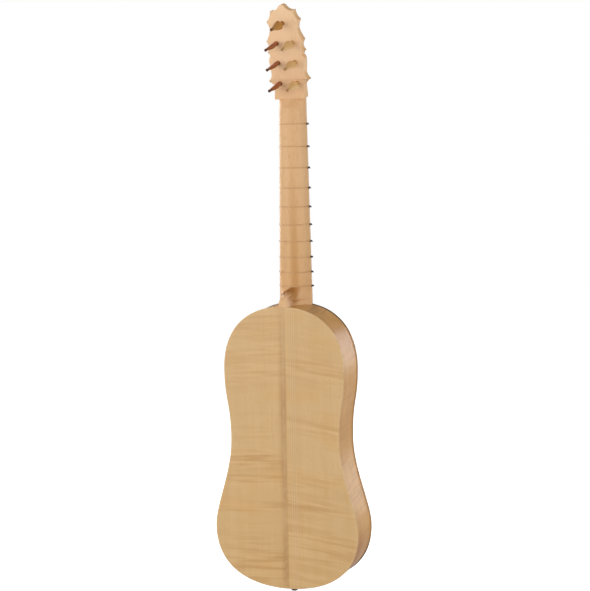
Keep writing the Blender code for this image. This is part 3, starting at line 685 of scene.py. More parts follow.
LOOKS = {
    "back_treble": maple_back("back_maple_treble", 1),
    "back_bass": maple_back("back_maple_bass", -1),
    "rib": wood("rib_maple", (226, 174, 106), (208, 152, 84), (162, 106, 48), rough=0.32, bands=90.0,
                flame=(0.3, 0.1, 190.0, 12.0, 0.15), wear_and_highlight=0.3, extra=rib_painted_shade, along=True, gloss=0.26),
    "neck": wood("neck_wood", (238, 194, 146), (226, 180, 130), (186, 136, 86), rough=0.42, bands=75.0,
                 band_share=0.55, pore_share=0.45, wear_and_highlight=0.6, wear_and_highlight_tone=(244, 210, 168), extra=neck_tones_and_shade,
                 gloss=0.14),
    # the neck's wood, painted paler as painted light on the head
    "head": wood("head_wood_painted_paler", (254, 217, 175), (249, 205, 158), (202, 152, 104), rough=0.5,
                 turn=(HEAD_TILT, 0.0, 0.0), pore_share=0.4, gloss=0.25, wear_and_highlight=0.4, wear_and_highlight_tone=(247, 216, 174),
                 shift=(0.2, 0.0, 0.1), extra=head_painted_light),
    "facing": wood("head_facing_dark", (50, 35, 25), (36, 25, 18), (18, 12, 9), bands=120.0,
                   turn=(HEAD_TILT, 0.0, 0.0), gloss=0.3, wear_and_highlight_tone=(118, 82, 52)),
    "fingerboard": wood("fingerboard_wood", (204, 162, 112), (186, 142, 92), (140, 98, 58),
                        shift=(0.4, 0.1, 0.0), bands=80.0, pore_share=0.5, coat=0.1, wear_and_highlight=0.6),
    "spruce": spruce_board(),
    "rose": wood("rose_pearwood", (206, 164, 116), (186, 140, 92), (138, 94, 56), rough=0.5, bands=120.0),
    "inner": wood("inner_pine", (224, 192, 142), (208, 170, 116), (170, 126, 80), rough=0.6, bands=110.0),
    "edging": wood("blackened_edging", (112, 84, 58), (86, 63, 44), (40, 28, 20), rough=0.3, bands=200.0,
                   coat=0.6, wear_and_highlight_tone=(130, 94, 62), extra=edging_painted_sheen, along=True, gloss=1.0),
    "button": wood("button_wood", (52, 34, 24), (36, 24, 17), (14, 10, 8), rough=0.3, bands=220.0,
                   coat=0.35, wear_and_highlight_tone=(110, 74, 46)),
    "bridge": wood("bridge_plumwood", (120, 70, 40), (92, 50, 28), (48, 26, 15), rough=0.36, bands=150.0,
                   turn=(0.0, math.pi / 2, 0.0), coat=0.2, wear_and_highlight=0.6, wear_and_highlight_tone=(150, 98, 60)),
    # one peg wood in three copies for painted light: half lit, shaded and lit
    "peg_half_lit": peg_wood("peg_wood_half_lit_copy", (200, 142, 66), (174, 114, 46), (96, 66, 32)),
    "peg_shaded": peg_wood("peg_wood_shaded_copy", (180, 108, 60), (146, 78, 40), (74, 46, 30)),
    "peg_lit": peg_wood("peg_wood_lit_copy", (240, 196, 134), (224, 178, 114), (160, 118, 70)),
    "string": gut("string_gut", (226, 196, 140), (200, 162, 100), (90, 60, 34)),
    "fret": gut("fret_gut", (222, 182, 132), (204, 160, 110), (40, 26, 18)),
    "bone": bone(),
}


# Body

def half_outline(inset=0.0):
    """The treble half of the body's outline, kept just off the centre."""
    outline = [plan(t, inset) for t in stations(0.0, 4.0, 200)]
    for end in (0, -1):
        outline[end] = (JOIN, outline[end][1])
    return outline


def at_seam(edge):
    return all(abs(v.co.x) < 0.1 for v in edge.verts)


def make_back():
    for side, word in HALVES:
        outline = [(side * x, REAR - BACK + JOIN, z + TAIL) for x, z in half_outline()]
        work = slab(outline, (0.0, BACK - JOIN, 0.0))
        soften(work, [e for e in edges_at(work, REAR) if not at_seam(e)], width=0.7, segments=3)
        soften(work, filter(at_seam, edges_at(work, REAR)), width=0.12, segments=1)
        calm(work, width=2.0)
        finish_piece(work, f"back_panel_{word}", "flamed_maple", f"back_{word}", f"back_{word}")


def make_soundboard():
    def round_hole(edge):
        out = [math.hypot(v.co.x, v.co.z - HOLE_Z - TAIL) for v in edge.verts]
        return max(out) <= HOLE_RADIUS + 0.5 and not at_seam(edge)

    tilt = math.acos(JOIN / HOLE_RADIUS)
    outline = half_outline(BINDING - OVERHANG + JOIN)
    for angle in stations(tilt, -tilt, 64):
        outline.append((HOLE_RADIUS * math.cos(angle), HOLE_Z + HOLE_RADIUS * math.sin(angle)))
    for side, word in HALVES:
        work = slab([(side * x, FRONT, z + TAIL) for x, z in outline], (0.0, BOARD, 0.0))
        soften(work, filter(round_hole, edges_at(work, FRONT)), width=0.3)
        calm(work, width=0.8)
        finish_piece(work, f"front_panel_{word}", "spruce", "spruce", f"soundboard_{word}")


STRIP_END = 3.999


def bent_strip(name, side, section, start, slot, look, node):
    """A strip bent round the outline up to the neck. section holds (inset, y) corners."""
    rings, lengths = [], [0.0]
    marks = stations(start, STRIP_END, 240)
    for i, t in enumerate(marks):
        places = [(plan(t, inset), y) for inset, y in section]
        rings.append([(side * max(x, JOIN), y, z + TAIL) for (x, z), y in places])
        if i:
            lengths.append(lengths[-1] + math.dist(plan(marks[i - 1]), plan(t)))
    finish_piece(sweep(rings, lengths), name, slot, look, node)


def make_ribs():
    start = solve(STRIP_HALF + JOIN, RIB, *AT_TAIL)
    inside = FRONT + BOARD
    front, rear = inside + JOIN, REAR - BACK - JOIN
    rib = [(0.0, front), (0.0, rear), (RIB, rear), (RIB, front)]
    edging = [(-OVERHANG, FRONT + 0.7), (-OVERHANG + 0.2, FRONT + 0.2), (-OVERHANG + 0.7, FRONT),
              (BINDING - OVERHANG, FRONT), (BINDING - OVERHANG, inside), (-OVERHANG + 0.4, inside),
              (-OVERHANG, inside - 0.4)]
    for side, word in HALVES:
        bent_strip(f"side_rib_{word}", side, rib, start, "rib_maple", "rib", f"rib_{word}")
        bent_strip(f"front_edging_{word}", side, edging, 0.001, "dark_edging", "edging",
                   f"edge_binding_{word}")


def make_tail_strip():
    treble = [plan(t) for t in stations(0.0, solve(STRIP_HALF, 0.0, *AT_TAIL), 10)]
    outline = [(-x, z) for x, z in reversed(treble)] + treble[1:]
    outline += [(x, z + RIB) for x, z in reversed(outline)]
    front = FRONT + BOARD + JOIN
    work = slab([(x, front, z + TAIL) for x, z in outline], (0.0, REAR - BACK - JOIN - front, 0.0))
    made = finish_piece(work, "tail_inlay", "dark_edging", "button", "tail_strip")
    ends = [[(BUTTON_BORE * a, BUTTON_BORE * b, TAIL + z) for a, b in circle(32)] for z in (-6.0, 6.0)]
    pierce(made, [ends])


BUTTON_TOP = TAIL - 0.28
BUTTON_SHANK, BUTTON_BORE = 2.7, 2.9
BUTTON_KEYS = (
    # height from the button's outer end, radius
    (0.0, 3.0), (0.5, 3.8), (1.6, 4.6), (3.6, 5.2), (5.2, 4.7), (6.0, 3.4), (6.6, 2.9), (7.6, 3.0),
    (8.4, 4.2), (8.8, 4.75), (9.4, 4.7), (BUTTON_TOP, 4.5),
)


def make_button():
    """A turned end button: its profile spun round the axis."""
    work = new_work()
    profile = [(0.0, 0.0)] + [(spline(BUTTON_KEYS, z)[0], z) for z in stations(0.0, BUTTON_TOP, 60)]
    profile += [(BUTTON_SHANK, BUTTON_TOP), (2.2, TAIL + 14.0), (0.0, TAIL + 14.0)]
    verts = [work.verts.new((r, 0.0, z)) for r, z in profile]
    edges = [work.edges.new(pair) for pair in zip(verts, verts[1:])]
    bmesh.ops.spin(work, geom=verts + edges, cent=(0, 0, 0), axis=(0, 0, 1), angle=2 * math.pi, steps=48,
                   use_merge=True, use_duplicate=False)
    bmesh.ops.remove_doubles(work, verts=work.verts, dist=0.001)
    layer = work.verts.layers.float["edge"]
    for vert in work.verts:
        if vert.co.z < TAIL - 0.3:
            vert[layer] = smooth((math.hypot(vert.co.x, vert.co.y) - 4.4) / 0.8)
    finish_piece(work, "turned_end_button", "dark_edging", "button", "end_button")


def make_rose():
    """A pierced rose: an outer and an inner ring, joined by circles laced through each other."""
    work = new_work()

    def hoop(angle, out, radius, wide, front, rear, sides):
        """A ring, out from the hole's centre at an angle. front and rear count from the soundboard's face."""
        middle = Vector((math.sin(angle) * out, FRONT, HOLE_Z + TAIL + math.cos(angle) * out))
        section = [(-wide / 2, rear), (wide / 2, rear), (wide / 2, front + 0.25), (wide / 4, front),
                   (-wide / 4, front), (-wide / 2, front + 0.25)]
        rings = []
        for c, s in circle(sides):
            rings.append([middle + Vector(((radius + a) * s, y, (radius + a) * c)) for a, y in section])
        sweep(rings, closed=True, work=work)

    # radius, width, front, rear and sides of the rings round the centre
    for ring in ((HOLE_RADIUS - 1.6, 2.6, 0.1, BOARD, 96), (21.4, 1.2, 0.3, BOARD - 0.1, 96),
                 (9.4, 1.4, 0.2, BOARD, 72), (3.2, 1.2, 0.1, BOARD, 48)):
        hoop(0.0, 0.0, *ring)
    for k in range(12):
        # the circles lie at slightly different depths, as laced ones do
        angle = 2 * math.pi * k / 12
        hoop(angle, 18.6, 9.9, 1.1, 0.25 + 0.06 * (k % 2), BOARD - 0.05 - 0.04 * (k % 3), 56)
        if k % 2 == 0:
            hoop(angle, 6.2, 3.1, 0.9, 0.3 + 0.05 * (k % 4), BOARD - 0.06 - 0.03 * (k % 4), 32)
    finish_piece(work, "laced_rose", "rose_wood_lattice", "rose", "rose")


# Neck and head

HEEL_DEPTH = REAR - NECK_FRONT
HEEL_START = BODY_LENGTH + HEEL_TONGUE + HEEL_COVE
TONGUE_HIGH = 0.98 * HEEL_TONGUE
TONGUE_TOP = BODY_LENGTH + TONGUE_HIGH
TONGUE_ROUND, ROUND_SHARE = 4.7, 0.55
TONGUE_LEAN, LEAN_START, LEAN_REACH = 1.2, 20.0, 25.0
FLANK_DROP, FLANK_REACH = 6.0, 12.0
DIP_REACH = 12.0
HOLLOW_KEPT, FADE_REACH = 0.12, 15.0


def top_edge(x, inset=0.0):
    """Height of the body's top edge at x from the centre."""
    t = solve(abs(x), inset, *AT_NECK) if abs(x) >= 0.01 else 4.0
    return plan(t, inset)[1]


def taper(at_joint, at_nut, z):
    """A size of the neck, which changes evenly from the body to the nut."""
    return at_joint + (at_nut - at_joint) * (z - BODY_LENGTH) / (NUT_Z - BODY_LENGTH)


def neck_section(z, depth, heel, tip, count=24):
    """One side of the neck's section, front to ridge, as (x, y) with y from the neck's front.

    It is between the neck's full round shape and the heel's hollow one, by the heel share.
    """
    half = taper(JOINT_HALF, NUT_HALF, z)
    points = []
    for i in range(count + 1):
        u = math.sin(math.pi / 2 * i / count)
        full = (1.0 - 0.3 * u) * math.sqrt(max(0.0, 1.0 - u ** 4))
        hollow = (1.0 - u) ** 2.1
        points.append((tip + (half - tip) * (full + (hollow - full) * heel), u * depth))
    return points


def neck_layer(z):
    """Depth, share of the heel's hollow shape and half width of the ridge at z."""
    thick = taper(THICK_JOINT, THICK_NUT, z)
    if z >= HEEL_START:
        fading = max(0.0, 1.0 - (z - HEEL_START) / FADE_REACH)
        return thick, HOLLOW_KEPT * fading ** 2, 1.0
    turn = math.asin(min(1.0, (HEEL_START - z) / HEEL_COVE))
    share = 1.0 - math.cos(turn)
    tip = 1.0 + (TONGUE_HALF - 3.0) * min(1.0, 2.0 * share)
    return thick + (HEEL_DEPTH - thick) * share, min(1.0, HOLLOW_KEPT + 1.15 * share), tip


def tongue_depth(share):
    """The heel's depth at a share of its tongue's height, less where the tongue's top is rounded."""
    up = max(0.0, share - ROUND_SHARE) * TONGUE_HIGH
    return HEEL_DEPTH - TONGUE_ROUND + math.sqrt(TONGUE_ROUND ** 2 - up ** 2)


def make_neck():
    """Layers of z, depth, hollow, ridge and a share: below 1 on the tongue, above 1 at the head."""
    layers = []
    for share in stations(0.0, 1.0, 14):
        tip = TONGUE_HALF + 0.4 - 2.4 * share ** 1.3
        layers.append((BODY_LENGTH + TONGUE_HIGH * share, tongue_depth(share), 1.0, tip, share))
    for angle in stations(89.0, 5.0, 17):
        z = HEEL_START - HEEL_COVE * math.sin(math.radians(angle))
        depth, heel, tip = neck_layer(z)
        layers.append((z, min(depth, tongue_depth(1.0)), heel, tip, 1.0))
    plain = HEEL_START + 16.0
    for z in stations(HEEL_START, plain, 10) + stations(plain, NUT_Z - DIP_REACH, 28)[1:]:
        layers.append((z, *neck_layer(z), 1.0))
    for z in stations(NUT_Z - DIP_REACH, NUT_Z - 1.0, 8)[1:] + [HEAD_BASE]:
        dip = NECK_DIP * smooth((z - NUT_Z + DIP_REACH) / DIP_REACH)
        depth = taper(THICK_JOINT, THICK_NUT, min(z, NUT_Z)) - dip
        layers.append((z, depth, 0.0, 1.0, 2.0 if z > NUT_Z else 1.0))
    rings = []
    for z, depth, heel, tip, share in layers:
        half = neck_section(z, depth, heel, tip)
        ring = []
        for x, y in half + [(-x, y) for x, y in reversed(half)]:
            drop = FLANK_DROP * smooth((abs(x) - TONGUE_HALF + 1.6) / 2.4)
            if share < 1.0:
                low = top_edge(x) + JOIN
                height = low + (TONGUE_TOP - drop - low) * share
            elif share > 1.0:
                height = z - JOIN - (y + NECK_FRONT - HEAD_FRONT) * math.tan(HEAD_TILT)
            else:
                height = z - drop * smooth(1.0 - (z - TONGUE_TOP) / FLANK_REACH)
            lean = TONGUE_LEAN * smooth((y - LEAN_START) / LEAN_REACH)
            ring.append((x - lean, y + NECK_FRONT, height + TAIL))
        rings.append(ring)
    heights = [layer[0] for layer in layers]
    finish_piece(sweep(rings, heights), "carved_neck", "neck_wood", "neck", "neck")


def make_fingerboard():
    across = stations(-1.0, 1.0, 16)
    low = [(x * JOINT_HALF, top_edge(x * JOINT_HALF, -OVERHANG) + JOIN) for x in across]
    high = [(x * NUT_HALF, NUT_Z - JOIN) for x in reversed(across)]
    thick = NECK_FRONT - JOIN - FRONT
    work = slab([(x, FRONT + thick, z + TAIL) for x, z in low + high], (0.0, -thick, 0.0))
    long = [e for e in edges_at(work, FRONT) if e.calc_length() > 50.0]
    soften(work, long, width=0.6, segments=3)
    finish_piece(work, "neck_facing", "neck_wood", "fingerboard", "fingerboard")


HEAD_CORNERS = (
    # half width, height, and bulge of the edge from there up to the next corner
    (20.2, 0.0, 0.0), (20.0, 16.6, -0.7), (26.9, 22.9, -1.3), (22.0, 33.0, 0.3),
    (23.6, 48.5, 0.8), (21.0, 54.6, -0.5), (24.3, 59.7, -0.7), (21.3, 66.2, -0.5),
    (24.3, 73.6, -0.9), (18.0, 88.4, -0.7), (21.4, 98.4, -1.6), (15.4, 111.0, -2.2),
    (3.6, 117.0, 1.6), (-3.6, 117.0, 0.0),
)


def scallop(a, b, bulge, count):
    """Points from a up to b on an arc that bulges to the right by that much."""
    x, y = b[0] - a[0], b[1] - a[1]
    chord = math.hypot(x, y)
    made = []
    for t in stations(0.0, 1.0, count)[:-1]:
        rise = 4 * t * (1 - t) * bulge
        made.append((a[0] + x * t + y / chord * rise, a[1] + y * t - x / chord * rise))
    return made


def head_outline():
    right = []
    for (*here, bulge), (*there, _) in zip(HEAD_CORNERS, HEAD_CORNERS[1:]):
        right += scallop(here, there, bulge, 10 if abs(bulge) > 0.2 else 1)
    corner = HEAD_CORNERS[-1][:2]
    return right + [corner] + [(-x, s) for x, s in reversed(right) if x > 0.01 - corner[0]]


def peg_places():
    """Centre, turn of the grip and look of each peg: the treble pegs take the shaded copy of the peg wood and
    the bass pegs the lit copy, as painted light, and the top peg the copy between.
    """
    places = [((0.4, 95.6), 62, "peg_half_lit")]
    for s, p, treble, bass in ((19.7, 11.8, 128, 50), (46.1, 11.6, 141, 38), (70.8, 10.7, 133, 47)):
        places += [((p, s), treble, "peg_shaded"), ((-p, s), bass, "peg_lit")]
    return places


def peg_radius(h):
    return 2.4 - 0.5 * h / HEAD_THICK


def head_solid(front, back):
    """The head's outline between two heights over its front plane."""
    through_plate = head_point(0.0, 0.0, back) - head_point(0.0, 0.0, front)
    return slab([head_point(x, s, front) for x, s in head_outline()], through_plate)


def bore_for_pegs(made):
    bores = []
    for (p, s), _, _ in peg_places():
        ends = []
        for h in (3.0, -HEAD_THICK - 3.0):
            r = peg_radius(h) + 0.05
            ends.append([head_point(p + r * a, s + r * b, h) for a, b in circle(32)])
        bores.append(ends)
    pierce(made, bores)


def head_depth(vert):
    """How far a vertex is behind the head's front plane."""
    y, z = vert.co.y - HEAD_FRONT, vert.co.z - TAIL - HEAD_BASE
    return y * math.cos(HEAD_TILT) - z * math.sin(HEAD_TILT)


def head_height(vert):
    """How far a vertex is up the head from its base."""
    y, z = vert.co.y - HEAD_FRONT, vert.co.z - TAIL - HEAD_BASE
    return y * math.sin(HEAD_TILT) + z * math.cos(HEAD_TILT)


def above_base(edge):
    return any(head_height(v) >= 0.01 for v in edge.verts)


def split(work, faces, place, normal):
    """Splits faces along a plane and leaves them joined."""
    geom = set(faces) | {e for f in faces for e in f.edges} | {v for f in faces for v in f.verts}
    bmesh.ops.bisect_plane(work, geom=list(geom), dist=1e-4, plane_co=place, plane_no=normal)


SWELL, SWELL_REACH = 3.3, 13.0
SWELL_SPLIT = 15.5


def make_head():
    """The plate swells at its base, where it is faired into the back of the neck."""
    work = head_solid(-VENEER - JOIN, -HEAD_THICK)
    origin = head_point(0.0, 0.0, 0.0)
    upward = head_point(0.0, 1.0, 0.0) - origin
    behind = head_point(0.0, 0.0, -1.0) - origin
    for s in stations(0.0, SWELL_REACH, 6)[1:]:
        split(work, work.faces[:], head_point(0.0, s, 0.0), upward)
    for x in (-SWELL_SPLIT, SWELL_SPLIT):
        base = [f for f in work.faces if all(head_height(v) < SWELL_REACH + 0.01 for v in f.verts)]
        split(work, base, (x, 0.0, 0.0), (1.0, 0.0, 0.0))
    rear = {v for v in work.verts if head_depth(v) > HEAD_THICK - 0.01}
    for vert in rear:
        vert.co += behind * SWELL * (1.0 - smooth(head_height(vert) / SWELL_REACH))
    rims = [e for e in work.edges if rear.issuperset(e.verts) and e.calc_face_angle(0.0) > 0.9]
    soften(work, filter(above_base, rims), width=0.8, segments=3)
    calm(work, width=1.6)
    # Marks the sawn side faces for their painted shade.
    along = work.verts.layers.float["along"]
    for face in work.faces:
        face.normal_update()
        if abs(face.normal.dot(behind)) < 0.1:
            for vert in face.verts:
                vert[along] = 1.0
    bore_for_pegs(finish_piece(work, "scalloped_head", "neck_wood", "head", "head_plate"))
    work = head_solid(0.0, -VENEER)
    rims = [e for e in work.edges if all(head_depth(v) < 0.01 for v in e.verts)]
    soften(work, filter(above_base, rims), width=0.3)
    calm(work, width=1.2)
    bore_for_pegs(finish_piece(work, "dark_head_facing", "dark_edging", "facing", "head_facing"))


PEG_KEYS = (
    # distance behind the head, half width, half thickness, share of the leaf's lens shape
    (0.3, 2.8, 2.8, 0.0), (0.7, 2.9, 2.9, 0.0), (1.2, 2.8, 2.8, 0.0), (1.7, 2.4, 2.4, 0.0),
    (2.2, 2.0, 2.0, 0.0), (4.2, 1.9, 1.9, 0.0), (5.8, 2.3, 2.1, 0.2), (7.2, 4.5, 2.6, 0.6),
    (8.6, 5.7, 2.9, 1.0), (12.0, 5.9, 3.0, 1.0), (22.0, 4.7, 2.6, 1.0), (31.0, 2.95, 2.0, 0.8),
    (38.0, 1.6, 1.45, 0.3), (39.2, 1.35, 1.3, 0.0),
    (40.2, 1.9, 1.9, 0.0), (41.6, 1.75, 1.75, 0.0), (42.6, 1.0, 1.0, 0.0), (43.0, 0.35, 0.35, 0.0),
)
PEG_FRONT, SHANK_FRONT = 11.0, 10.3
LENS_THINNING = 0.34


def make_pegs():
    near = peg_radius(SHANK_FRONT) - 0.05
    rows = [(PEG_FRONT, 1.3, 1.3, 0.0), (10.8, 1.75, 1.75, 0.0), (SHANK_FRONT, near, near, 0.0)]
    rows += [(h, peg_radius(h), peg_radius(h), 0.0) for h in stations(9.5, -HEAD_THICK, 8)]
    for behind in stations(PEG_KEYS[0][0], PEG_KEYS[-1][0], 96):
        rows.append((-HEAD_THICK - behind, *spline(PEG_KEYS, behind)))
    for number, ((p, s), degrees, look) in enumerate(peg_places(), 1):
        c, d = math.cos(math.radians(degrees)), math.sin(math.radians(degrees))
        rings = []
        for h, wide, thin, lens in rows:
            ring = []
            for a, b in circle(32):
                flat = thin * b * (1.0 - LENS_THINNING * lens * (1.0 - abs(b)))
                ring.append(head_point(p + wide * a * c - flat * d, s + wide * a * d + flat * c, h))
            rings.append(ring)
        work = sweep(rings, [PEG_FRONT - row[0] for row in rows])
        finish_piece(work, f"carved_peg_{number}", "peg_wood", look, f"peg_{number}",
                     body=f"tuning_peg_{number}")


# Strings, frets, nut and bridge

STRINGS = (
    # x at the bridge, x at a nut of half width NUT_GIVEN, radius, peg number
    (24.6, 11.4, 0.32, 2), (10.2, 5.0, 0.36, 4), (6.0, 2.6, 0.36, 6), (-6.0, -2.6, 0.42, 1),
    (-10.2, -5.0, 0.42, 7), (-22.4, -10.2, 0.48, 5), (-26.8, -12.6, 0.48, 3),
)
NUT_GIVEN = 16.9
STRING_CLEAR = 0.3
WINDINGS, WINDING_START = 2.5, 3.6
CORD_SIDES, KNOT_SIDES = 10, 8


def string_path(x, nut_x, radius, peg):
    """From the bridge's tie over the board and nut to the windings on its peg."""
    tie = BRIDGE_BASE - TIE_HEIGHT
    over = BRIDGE_BASE - BRIDGE_HEIGHT - STRING_CLEAR - radius
    front = TAIL + BRIDGE_Z
    rear = front - BRIDGE_WIDTH
    lift = radius + STRING_CLEAR
    path = through([(x, over, front - 3.0), (x, over, rear + 1.0), (x, over + 0.8, rear - 0.6 * lift),
                    (x, (over + tie) / 2, rear - 1.2 * lift), (x, tie - 0.5, rear - 0.9 * lift),
                    (x, tie, rear + 0.3)], 4)
    path += [Vector((x, tie, z)) for z in stations(rear + 2.0, front + 0.5, 4)]
    start, end = path[-1], Vector((nut_x, NUT_STRING, TAIL + NUT_Z - 0.6))
    path += [start.lerp(end, t) for t in stations(0.0, 1.0, 40)[1:]]
    path.append(Vector((nut_x, NUT_STRING, TAIL + HEAD_BASE - 0.6)))
    places = [place for place, _, _ in peg_places()]
    if peg == 5:
        # the string passes the inner side of peg 3
        p, s = places[2]
        path.append(head_point(p + peg_radius(2.2) + 0.4 + radius, s, 2.3))
    p, s = places[peg - 1]
    for swing in stations(0.0, 2 * math.pi * WINDINGS, 60):
        angle = math.pi - swing if p > 0 else swing
        rise = WINDING_START + (2 * radius + 0.25) * swing / (2 * math.pi)
        reach = peg_radius(rise) + 0.06 + radius
        path.append(head_point(p + reach * math.cos(angle), s + reach * math.sin(angle), rise))
    return path


def make_strings():
    for number, (bridge_x, nut_x, radius, peg) in enumerate(STRINGS, 1):
        work = new_work()
        path = string_path(bridge_x, nut_x * NUT_HALF / NUT_GIVEN, radius, peg)
        sweep_cord(work, path, radius, CORD_SIDES)
        finish_piece(work, f"gut_string_{number}", "gut", "string", f"string_{number}")


FRET_RADIUS, FRET_OFF, FRET_SLIDE = 0.45, 0.5, 2.0


def make_frets():
    """Tied gut frets: a loop round the neck, a small knot on the bass edge and two burnt ends.

    The last loop spans the start of the heel's hollow, so that it can slide up to where there is none.
    """
    off = FRET_OFF
    for number in range(1, FRETS + 1):
        z = NUT_Z - SCALE_LENGTH * (1.0 - 2.0 ** (-number / 12.0))
        depth, _, tip = neck_layer(z)
        section = neck_section(z, depth, neck_layer(z + FRET_SLIDE)[1], tip, count=28)
        side = []
        for (ax, ay), (x, y), (bx, by) in zip(section, section[1:], section[2:] + section[-1:]):
            size = math.hypot(bx - ax, by - ay)
            side.append((x + off * (by - ay) / size, NECK_FRONT + y + off * (ax - bx) / size))
        half = taper(JOINT_HALF, NUT_HALF, z)
        # over the fingerboard, round its edge and down its side
        treble = [(x, FRONT - off) for x in stations(0.0, half - 0.5, 8)]
        treble += [(half + 0.25, FRONT - 0.9 * off), (half + 0.85 * off, FRONT - 0.1)]
        treble.append((half + off, FRONT + 0.6))
        treble += [(half + off, y) for y in stations(FRONT + 1.6, NECK_FRONT + 0.3, 3)] + side
        ring = treble + [(-x, y) for x, y in reversed(treble[1:])]
        work = new_work()
        sweep_cord(work, [(x, y, z + TAIL) for x, y in ring], FRET_RADIUS, CORD_SIDES, closed=True)
        add_knot(work, Vector((-half - off - 0.55, NECK_FRONT + 0.7, z + TAIL)), FRET_RADIUS)
        finish_piece(work, f"gut_fret_{number}", "gut", "fret", f"fret_{number}", body=f"tied_fret_{number}")


def add_knot(work, at, radius):
    """Two turns of gut across the loop and the two cut ends, swollen by the flame."""
    before = set(work.verts)
    turns = []
    for t in stations(0.0, 1.0, 36):
        angle = 4 * math.pi * t
        turns.append(at + Vector((0.95 * math.cos(angle), 1.8 * t - 0.9, math.sin(angle))))
    sweep_cord(work, turns, radius, KNOT_SIDES)
    for lean in (-1.0, 1.0):
        end = [at + Vector((-0.4 - 0.5 * k, 0.35 * lean * (1 + 0.4 * k), 0.22 * lean * k)) for k in range(5)]
        sweep_cord(work, end, radius, KNOT_SIDES, swell=(1.0, 1.0, 1.1, 1.5, 0.7))
    singe = work.verts.layers.float["singe"]
    for vert in work.verts:
        if vert not in before:
            vert[singe] = 0.55 + 0.45 * smooth((at.x - vert.co.x) / 2.2)


BRIDGE_KEYS = (
    # distance from the centre, share of the height, share of the width
    (0.0, 1.0, 1.0), (30.6, 1.0, 1.0), (31.6, 0.93, 0.99), (32.8, 0.62, 0.97), (34.4, 0.46, 0.9),
    (37.0, 0.44, 0.82), (41.0, 0.4, 0.7), (45.0, 0.37, 0.58), (48.5, 0.33, 0.5), (50.6, 0.26, 0.4),
    (52.0, 0.14, 0.22),
)


def make_bridge():
    middle = TAIL + BRIDGE_Z - BRIDGE_WIDTH / 2
    tied, end = BRIDGE_KEYS[1][0], BRIDGE_KEYS[-1][0]
    xs = stations(0.0, tied, 12) + stations(tied, end, 44)[1:]
    xs = [-x for x in reversed(xs)] + xs[1:]
    side = [(1.0, 0.0), (1.0, 0.55), (0.98, 0.78), (0.9, 0.93), (0.76, 1.0), (0.3, 1.0), (0.2, 0.965)]
    section = [(-1.0, 0.0)] + side + [(-a, b) for a, b in reversed(side[1:])]
    rings = []
    for x in xs:
        tall, wide = spline(BRIDGE_KEYS, abs(x))
        h, w = BRIDGE_HEIGHT * tall, BRIDGE_WIDTH / 2 * wide
        rings.append([(x, BRIDGE_BASE - h * b, middle + w * a) for a, b in section])
    made = finish_piece(sweep(rings, xs), "carved_bridge", "bridge_wood", "bridge", "bridge")
    tie = BRIDGE_BASE - TIE_HEIGHT
    bores = []
    for x, _, radius, _ in STRINGS:
        r = radius + STRING_CLEAR
        bores.append([[(x + r * a, tie + r * b, z) for a, b in circle(16)]
                      for z in (middle - BRIDGE_WIDTH, middle + BRIDGE_WIDTH)])
    pierce(made, bores)


def make_nut():
    """The CAD's own nut with its edges rounded."""
    work = new_work()
    work.from_mesh(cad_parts["nut"].data)
    bmesh.ops.scale(work, vec=(1 / MM, 1 / MM, 1 / MM), verts=work.verts)
    bmesh.ops.remove_doubles(work, verts=work.verts, dist=0.001)
    bmesh.ops.dissolve_limit(work, angle_limit=0.02, verts=work.verts, edges=work.edges)
    soften(work, [e for e in work.edges if e.calc_face_angle(0.0) > 0.5], width=0.15)
    finish_piece(work, "bone_nut", "bone", "bone", "nut")


for make in (make_back, make_soundboard, make_ribs, make_tail_strip, make_button, make_rose, make_neck,
             make_fingerboard, make_head, make_pegs, make_strings, make_frets, make_bridge, make_nut):
    make()

for name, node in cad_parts.items():
    if any(word in name for word in ("_block", "_lining", "_bar", "_seam")):
        dress(node, LOOKS["inner"])


# Camera, light and floor

def set_camera():
    turn, rise, roll = (math.radians(v) for v in (VIEW_TURN, VIEW_RISE, VIEW_ROLL))
    data = bpy.data.cameras.new("photo_view")
    data.sensor_width = SENSOR
    data.lens = VIEW_FOCAL_PIXELS / PHOTO_HEIGHT * SENSOR
    data.clip_start, data.clip_end = 0.01, 50.0
    camera = linked("photo_view", data)
    back = Matrix.Translation((0.0, 0.0, VIEW_FOCAL_PIXELS * VIEW_MM_PER_PIXEL * MM))
    aim = Matrix.Rotation(math.pi + turn, 4, "Z") @ Matrix.Rotation(math.pi / 2 - rise, 4, "X")
    camera.matrix_world = Matrix.Translation(VIEW_TARGET * MM) @ aim @ Matrix.Rotation(roll, 4, "Z") @ back
    bpy.context.scene.camera = camera


def soft_light(name, place, height, size, watts):
    """A round lamp that looks at a height on the axis. Lengths are in metres."""
    data = bpy.data.lights.new(name, "AREA")
    data.shape, data.size, data.energy = "DISK", size, watts
    lamp = linked(name, data)
    lamp.location = place
    lamp.rotation_euler = (Vector((0.0, 0.0, height)) - lamp.location).to_track_quat("-Z", "Y").to_euler()


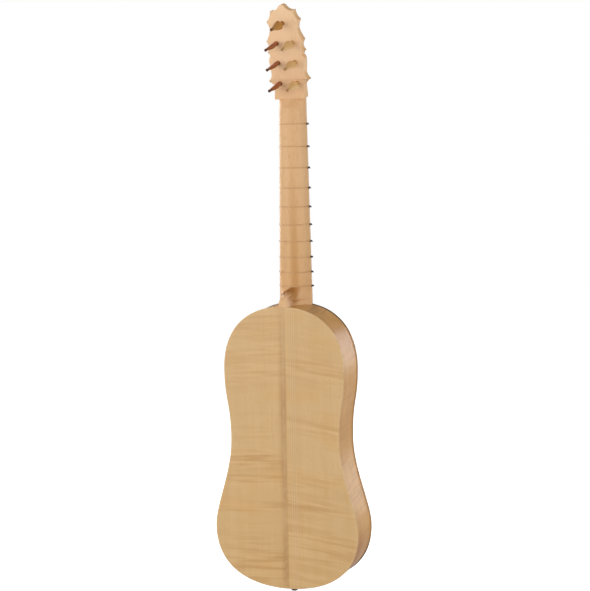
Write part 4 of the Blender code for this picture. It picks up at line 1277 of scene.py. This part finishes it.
WHITE = (1.0, 1.0, 1.0, 1.0)
ROOM, CEILING, FAR_WALL = 0.55, 0.6, 0.4
FLOOR_LEVEL, FLOOR_HALF = -320.0, 6000.0


def camera_sees(g):
    path = g.add("LightPath").outputs
    return g.math("ADD", path["Is Camera Ray"], path["Is Transmission Ray"], clamp=True)


def set_world():
    """A pale room, darker overhead and at its far wall, and plain white to the camera.

    Nothing here is metal or glass, so gloss sees the room's own level.
    """
    world = bpy.data.worlds.new("studio")
    bpy.context.scene.world = world
    world.use_nodes = True
    g = Graph(world.node_tree)
    sky = g.tree.nodes["Background"]
    g.feed(sky, "Color", WHITE)
    _, y, z = g.parts(g.add("TexCoord").outputs["Generated"])
    room = g.times(g.band(z, 0.05, 0.75, ROOM, CEILING * ROOM), g.band(y, -0.75, 0.2, FAR_WALL, 1.0))
    g.feed(sky, "Strength", g.math("MAXIMUM", camera_sees(g), room))


def make_floor():
    work = bmesh.new()
    bmesh.ops.create_grid(work, x_segments=1, y_segments=1, size=FLOOR_HALF)
    bmesh.ops.translate(work, verts=work.verts, vec=(0.0, 0.0, FLOOR_LEVEL))
    floor = shown(work, "studio_floor")
    made, g, shader, coords = start_finish("pale_floor")
    g.feed(shader, "Base Color", (0.6, 0.6, 0.6, 1.0))
    g.feed(shader, "Roughness", 0.9)
    g.feed(shader, "Specular IOR Level", 0.1)
    g.feed(shader, "Emission Color", WHITE)
    far = g.add("VectorMath", [("operation", "LENGTH")], Vector=coords).outputs["Value"]
    g.feed(shader, "Emission Strength", g.times(camera_sees(g), g.band(far, 0.5, 1.7, 0.3, 1.0)))
    dress(floor, made)


set_camera()
set_world()
soft_light("key", (1.5, 2.35, 0.6), 0.42, 3.2, 48.0)
soft_light("side", (-2.5, 0.7, 1.0), 0.3, 1.2, 23.0)
soft_light("front_panel", (-1.2, -2.6, 0.55), 0.3, 1.4, 13.0)
soft_light("front_fill", (2.5, -1.9, 0.9), 0.38, 1.6, 24.0)
soft_light("front_high", (1.7, -1.7, 2.3), 0.35, 1.4, 40.0)
make_floor()
bpy.context.scene.view_settings.view_transform = "Standard"
